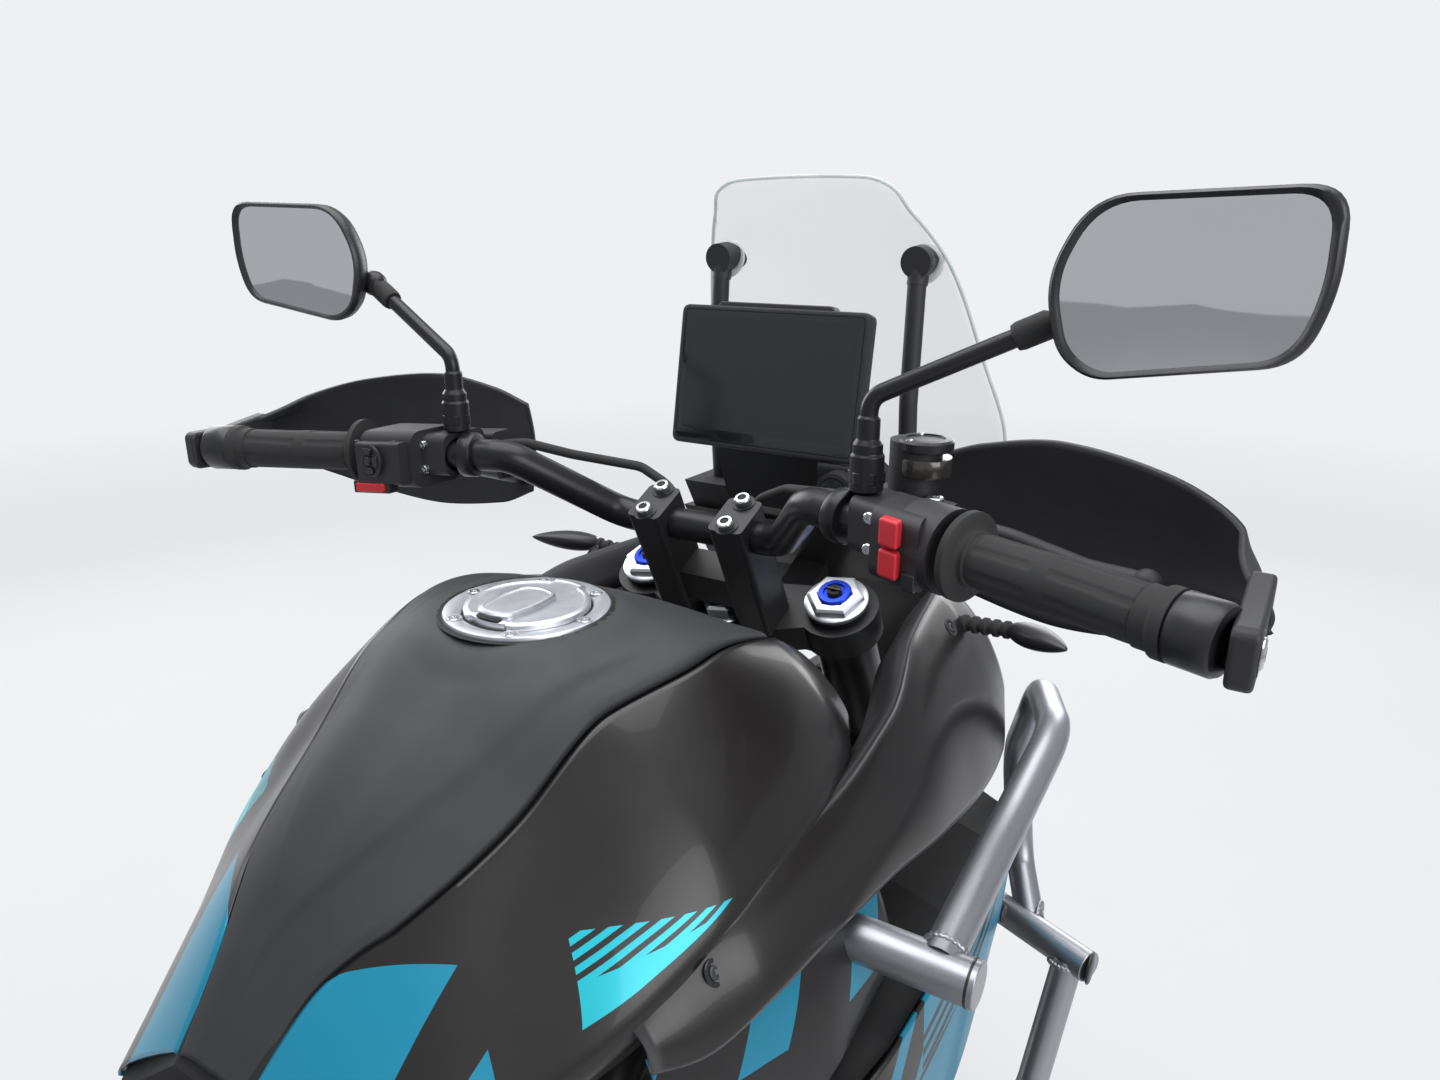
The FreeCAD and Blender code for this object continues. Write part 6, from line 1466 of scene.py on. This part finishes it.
for k in range(4):
    turn = math.radians(90 * k)
    out = Vector((0, math.cos(turn), math.sin(turn)))
    beside = Vector((0, -math.sin(turn), math.cos(turn)))
    ring = [dpadAt + out * a + beside * b + Vector((-c, 0, 0)) for c in (1.0, 3.6)
            for a, b in ((5.4, -3.4), (11.2, -5.4), (11.8, 0), (11.2, 5.4), (5.4, 3.4))]
    verts = [p * mm for p in ring]
    faces = [(0, 1, 2, 3, 4), (9, 8, 7, 6, 5)] + [(i, 5 + i, 5 + (i + 1) % 5, (i + 1) % 5) for i in range(5)]
    piece("dpadKey%d" % k, verts, faces, "steering", "blackMould", "black_plastic", bevel=0.0008)
turnedPart("dpadCentre", [(4.2, 0.8), (4.2, 3.6), (3.2, 4.4), (0.1, 4.6)], dpadAt, (-1, 0, 0), "blackSmooth",
           sides=32)
for k, (distance, up) in enumerate(((216, 14), (180, 14), (180, -12), (216, -12))):
    turnedPart("sideKey%d" % k, [(3.6, 0), (3.6, 2.4), (2.8, 3.0), (0.1, 3.1)],
               alongBar(1, distance, up, -30), (-1, 0, 0),
               "blackSmooth", sides=6, bevel=0.0005)
cupAt = alongBar(-1, 222, 52, 58)
turnedPart("cupLid", [(19.4, -6), (20.2, -5), (20.2, 0.5), (18.6, 2.2), (14, 2.6), (13.6, 1.4), (0.1, 1.2)],
           cupAt, (0, 0, 1), "blackSmooth", sides=48)
turnedPart("cupBand", [(19.2, -24), (19.8, -23), (19.8, -12), (19.2, -11)], cupAt, (0, 0, 1), "smokyCup",
           sides=48)
for k, turn in enumerate((0.6, 2.7)):
    spot = cupAt + Vector((math.cos(turn) * 15.8, math.sin(turn) * 15.8, 1.6))
    turnedPart("cupScrew%d" % k, [(2.6, 0), (2.4, 1.0), (1.0, 1.2), (0.9, 0.4), (0.1, 0.4)], spot, (0, 0, 1),
               "boltSteel", sides=20)
for side, label in bothSides:
    for k, up in enumerate((11, -11)):
        turnedPart("perchBolt%d%s" % (k, label),
                   [(4.2, -0.5), (4.2, 2.6), (3.4, 3.4), (1.9, 3.4), (1.8, 1.6), (0.1, 1.6)],
                   alongBar(side, 232, up, -16), (-1, 0, 0), "boltSteel", sides=24)
    turnedPart("leverPivot" + label, [(6.4, 0), (6.4, 2.0), (5.4, 2.8), (2.6, 2.8), (2.4, 1.2), (0.1, 1.2)],
               alongBar(side, 206, 14, 48), (0, 0, 1), "boltSteel", sides=28)

displayLow, displayHigh = Vector((447, 0, 1157)), Vector((471, 0, 1292))
displayUp = (displayHigh - displayLow).normalized()
displayBack = Vector((0, 1, 0)).cross(displayUp).normalized()
if displayBack.x > 0:
    displayBack = -displayBack
tall = (displayHigh - displayLow).length


def displayRing(insetSide, insetTop, insetLow, radius, out):
    outline = roundedOutline([(-102 + insetSide, insetLow), (102 - insetSide, insetLow),
                              (102 - insetSide, tall - insetTop),
                              (-102 + insetSide, tall - insetTop)], [radius] * 4, 7)
    return [(displayLow + Vector((0, p.x, 0)) + displayUp * p.y + displayBack * out) * mm for p in outline]


bezel = ringsMesh([displayRing(5, 4, 4, 6, -20)]
                  + [displayRing(inset, inset, inset, radius, out) for inset, radius, out in (
(0.6, 8, -15), (0, 8, -2), (0.6, 8, 0.2), (2.2, 7, 1.0), (4.4, 6, 0.8), (4.8, 6, 0.1))])
piece("displayBezel", *bezel, "chassis", "blackMould", "black_plastic", ["display"], smooth=40)
glass = ringsMesh([displayRing(5.0, 5.0, 5.0, 6, 0.0), displayRing(5.0, 5.0, 5.0, 6, 0.9),
                   displayRing(6, 6, 6, 5, 1.1)])
piece("displayGlass", *glass, "chassis", "displayGlass", "black_gloss", smooth=40)
picture = ringsMesh([displayRing(11, 10, 16, 3, 1.12), displayRing(11, 10, 16, 3, 1.2),
                     displayRing(11.6, 10.6, 16.6, 3, 1.24)])
activeArea = Finish("displayArea")
activeArea.set("Base Color",
               activeArea.mix(activeArea.noise(4.0), (0.016, 0.017, 0.019), (0.026, 0.027, 0.030)))
activeArea.set("Roughness", activeArea.noise(30.0) * 0.04 + 0.14)
finishes["displayArea"] = activeArea
piece("displayArea", *picture, "chassis", "displayArea", "black_gloss")
hood = ringsMesh([[(displayHigh + Vector((0, y, 0)) + displayUp * u + displayBack * out) * mm
                   for y, u in ((-66, -2), (-60, 4.5), (60, 4.5), (66, -2))] for out in (-18, -4)])
piece("displayHood", *hood, "chassis", "blackMould", "black_plastic", bevel=0.0015)
mount = boxMesh((500, 0, 1210), (26, 92, 70))
piece("displayMount", *scaled(mount), "chassis", "blackMould", "black_plastic", bevel=0.004)
keyAxis = Vector((-13, 0, -2)).normalized()
turnedPart("keyBezel", [(17.6, -2), (18.4, 0), (18.4, 1.6), (15.2, 2.6), (14.2, 1.4), (11.6, 1.0),
                        (11.0, 0.2), (0.1, 0.2)],
           (435.5, -88, 1132), keyAxis, "blackSmooth", "chassis", sides=48)
turnedPart("keyRing", [(12.4, 1.2), (13.6, 1.6), (13.6, 2.2), (12.4, 2.2)], (435.5, -88, 1132), keyAxis,
           "boltSteel", "chassis")
for side, label in bothSides:
    turnedPart("screenKnob" + label,
               [(9, -4), (13.5, -3), (15, 0), (15, 7), (13, 9), (9, 9.6), (8.4, 8.4), (0.1, 8.2)],
               (560, side * 110.5, 1332), (-1, 0, 0.25), "blackSmooth", "chassis", sides=36)
    turnedPart("screenWasher" + label, [(10, -1), (19, 0), (20, 1.4), (19, 2.6), (10, 3)],
               (572, side * 110.5, 1331), (-1, 0, 0.25), "screenEdge", "chassis", sides=40)


# Radiator fins

print("radiator fins")
radLow, radHigh = (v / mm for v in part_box("radiator"))
fins = []
for k in range(44):
    z = radLow.z + 16 + (radHigh.z - radLow.z - 32) * k / 43
    x = radHigh.x - 2 - (z - radLow.z) / (radHigh.z - radLow.z) * (radHigh.x - radLow.x - 42)
    fins.append(boxMesh((x, 0, z), (3, 262, 1.3)))
piece("radiatorFins", *scaled(joined(*fins)), "chassis", "alloyPlain", "cast_alloy")
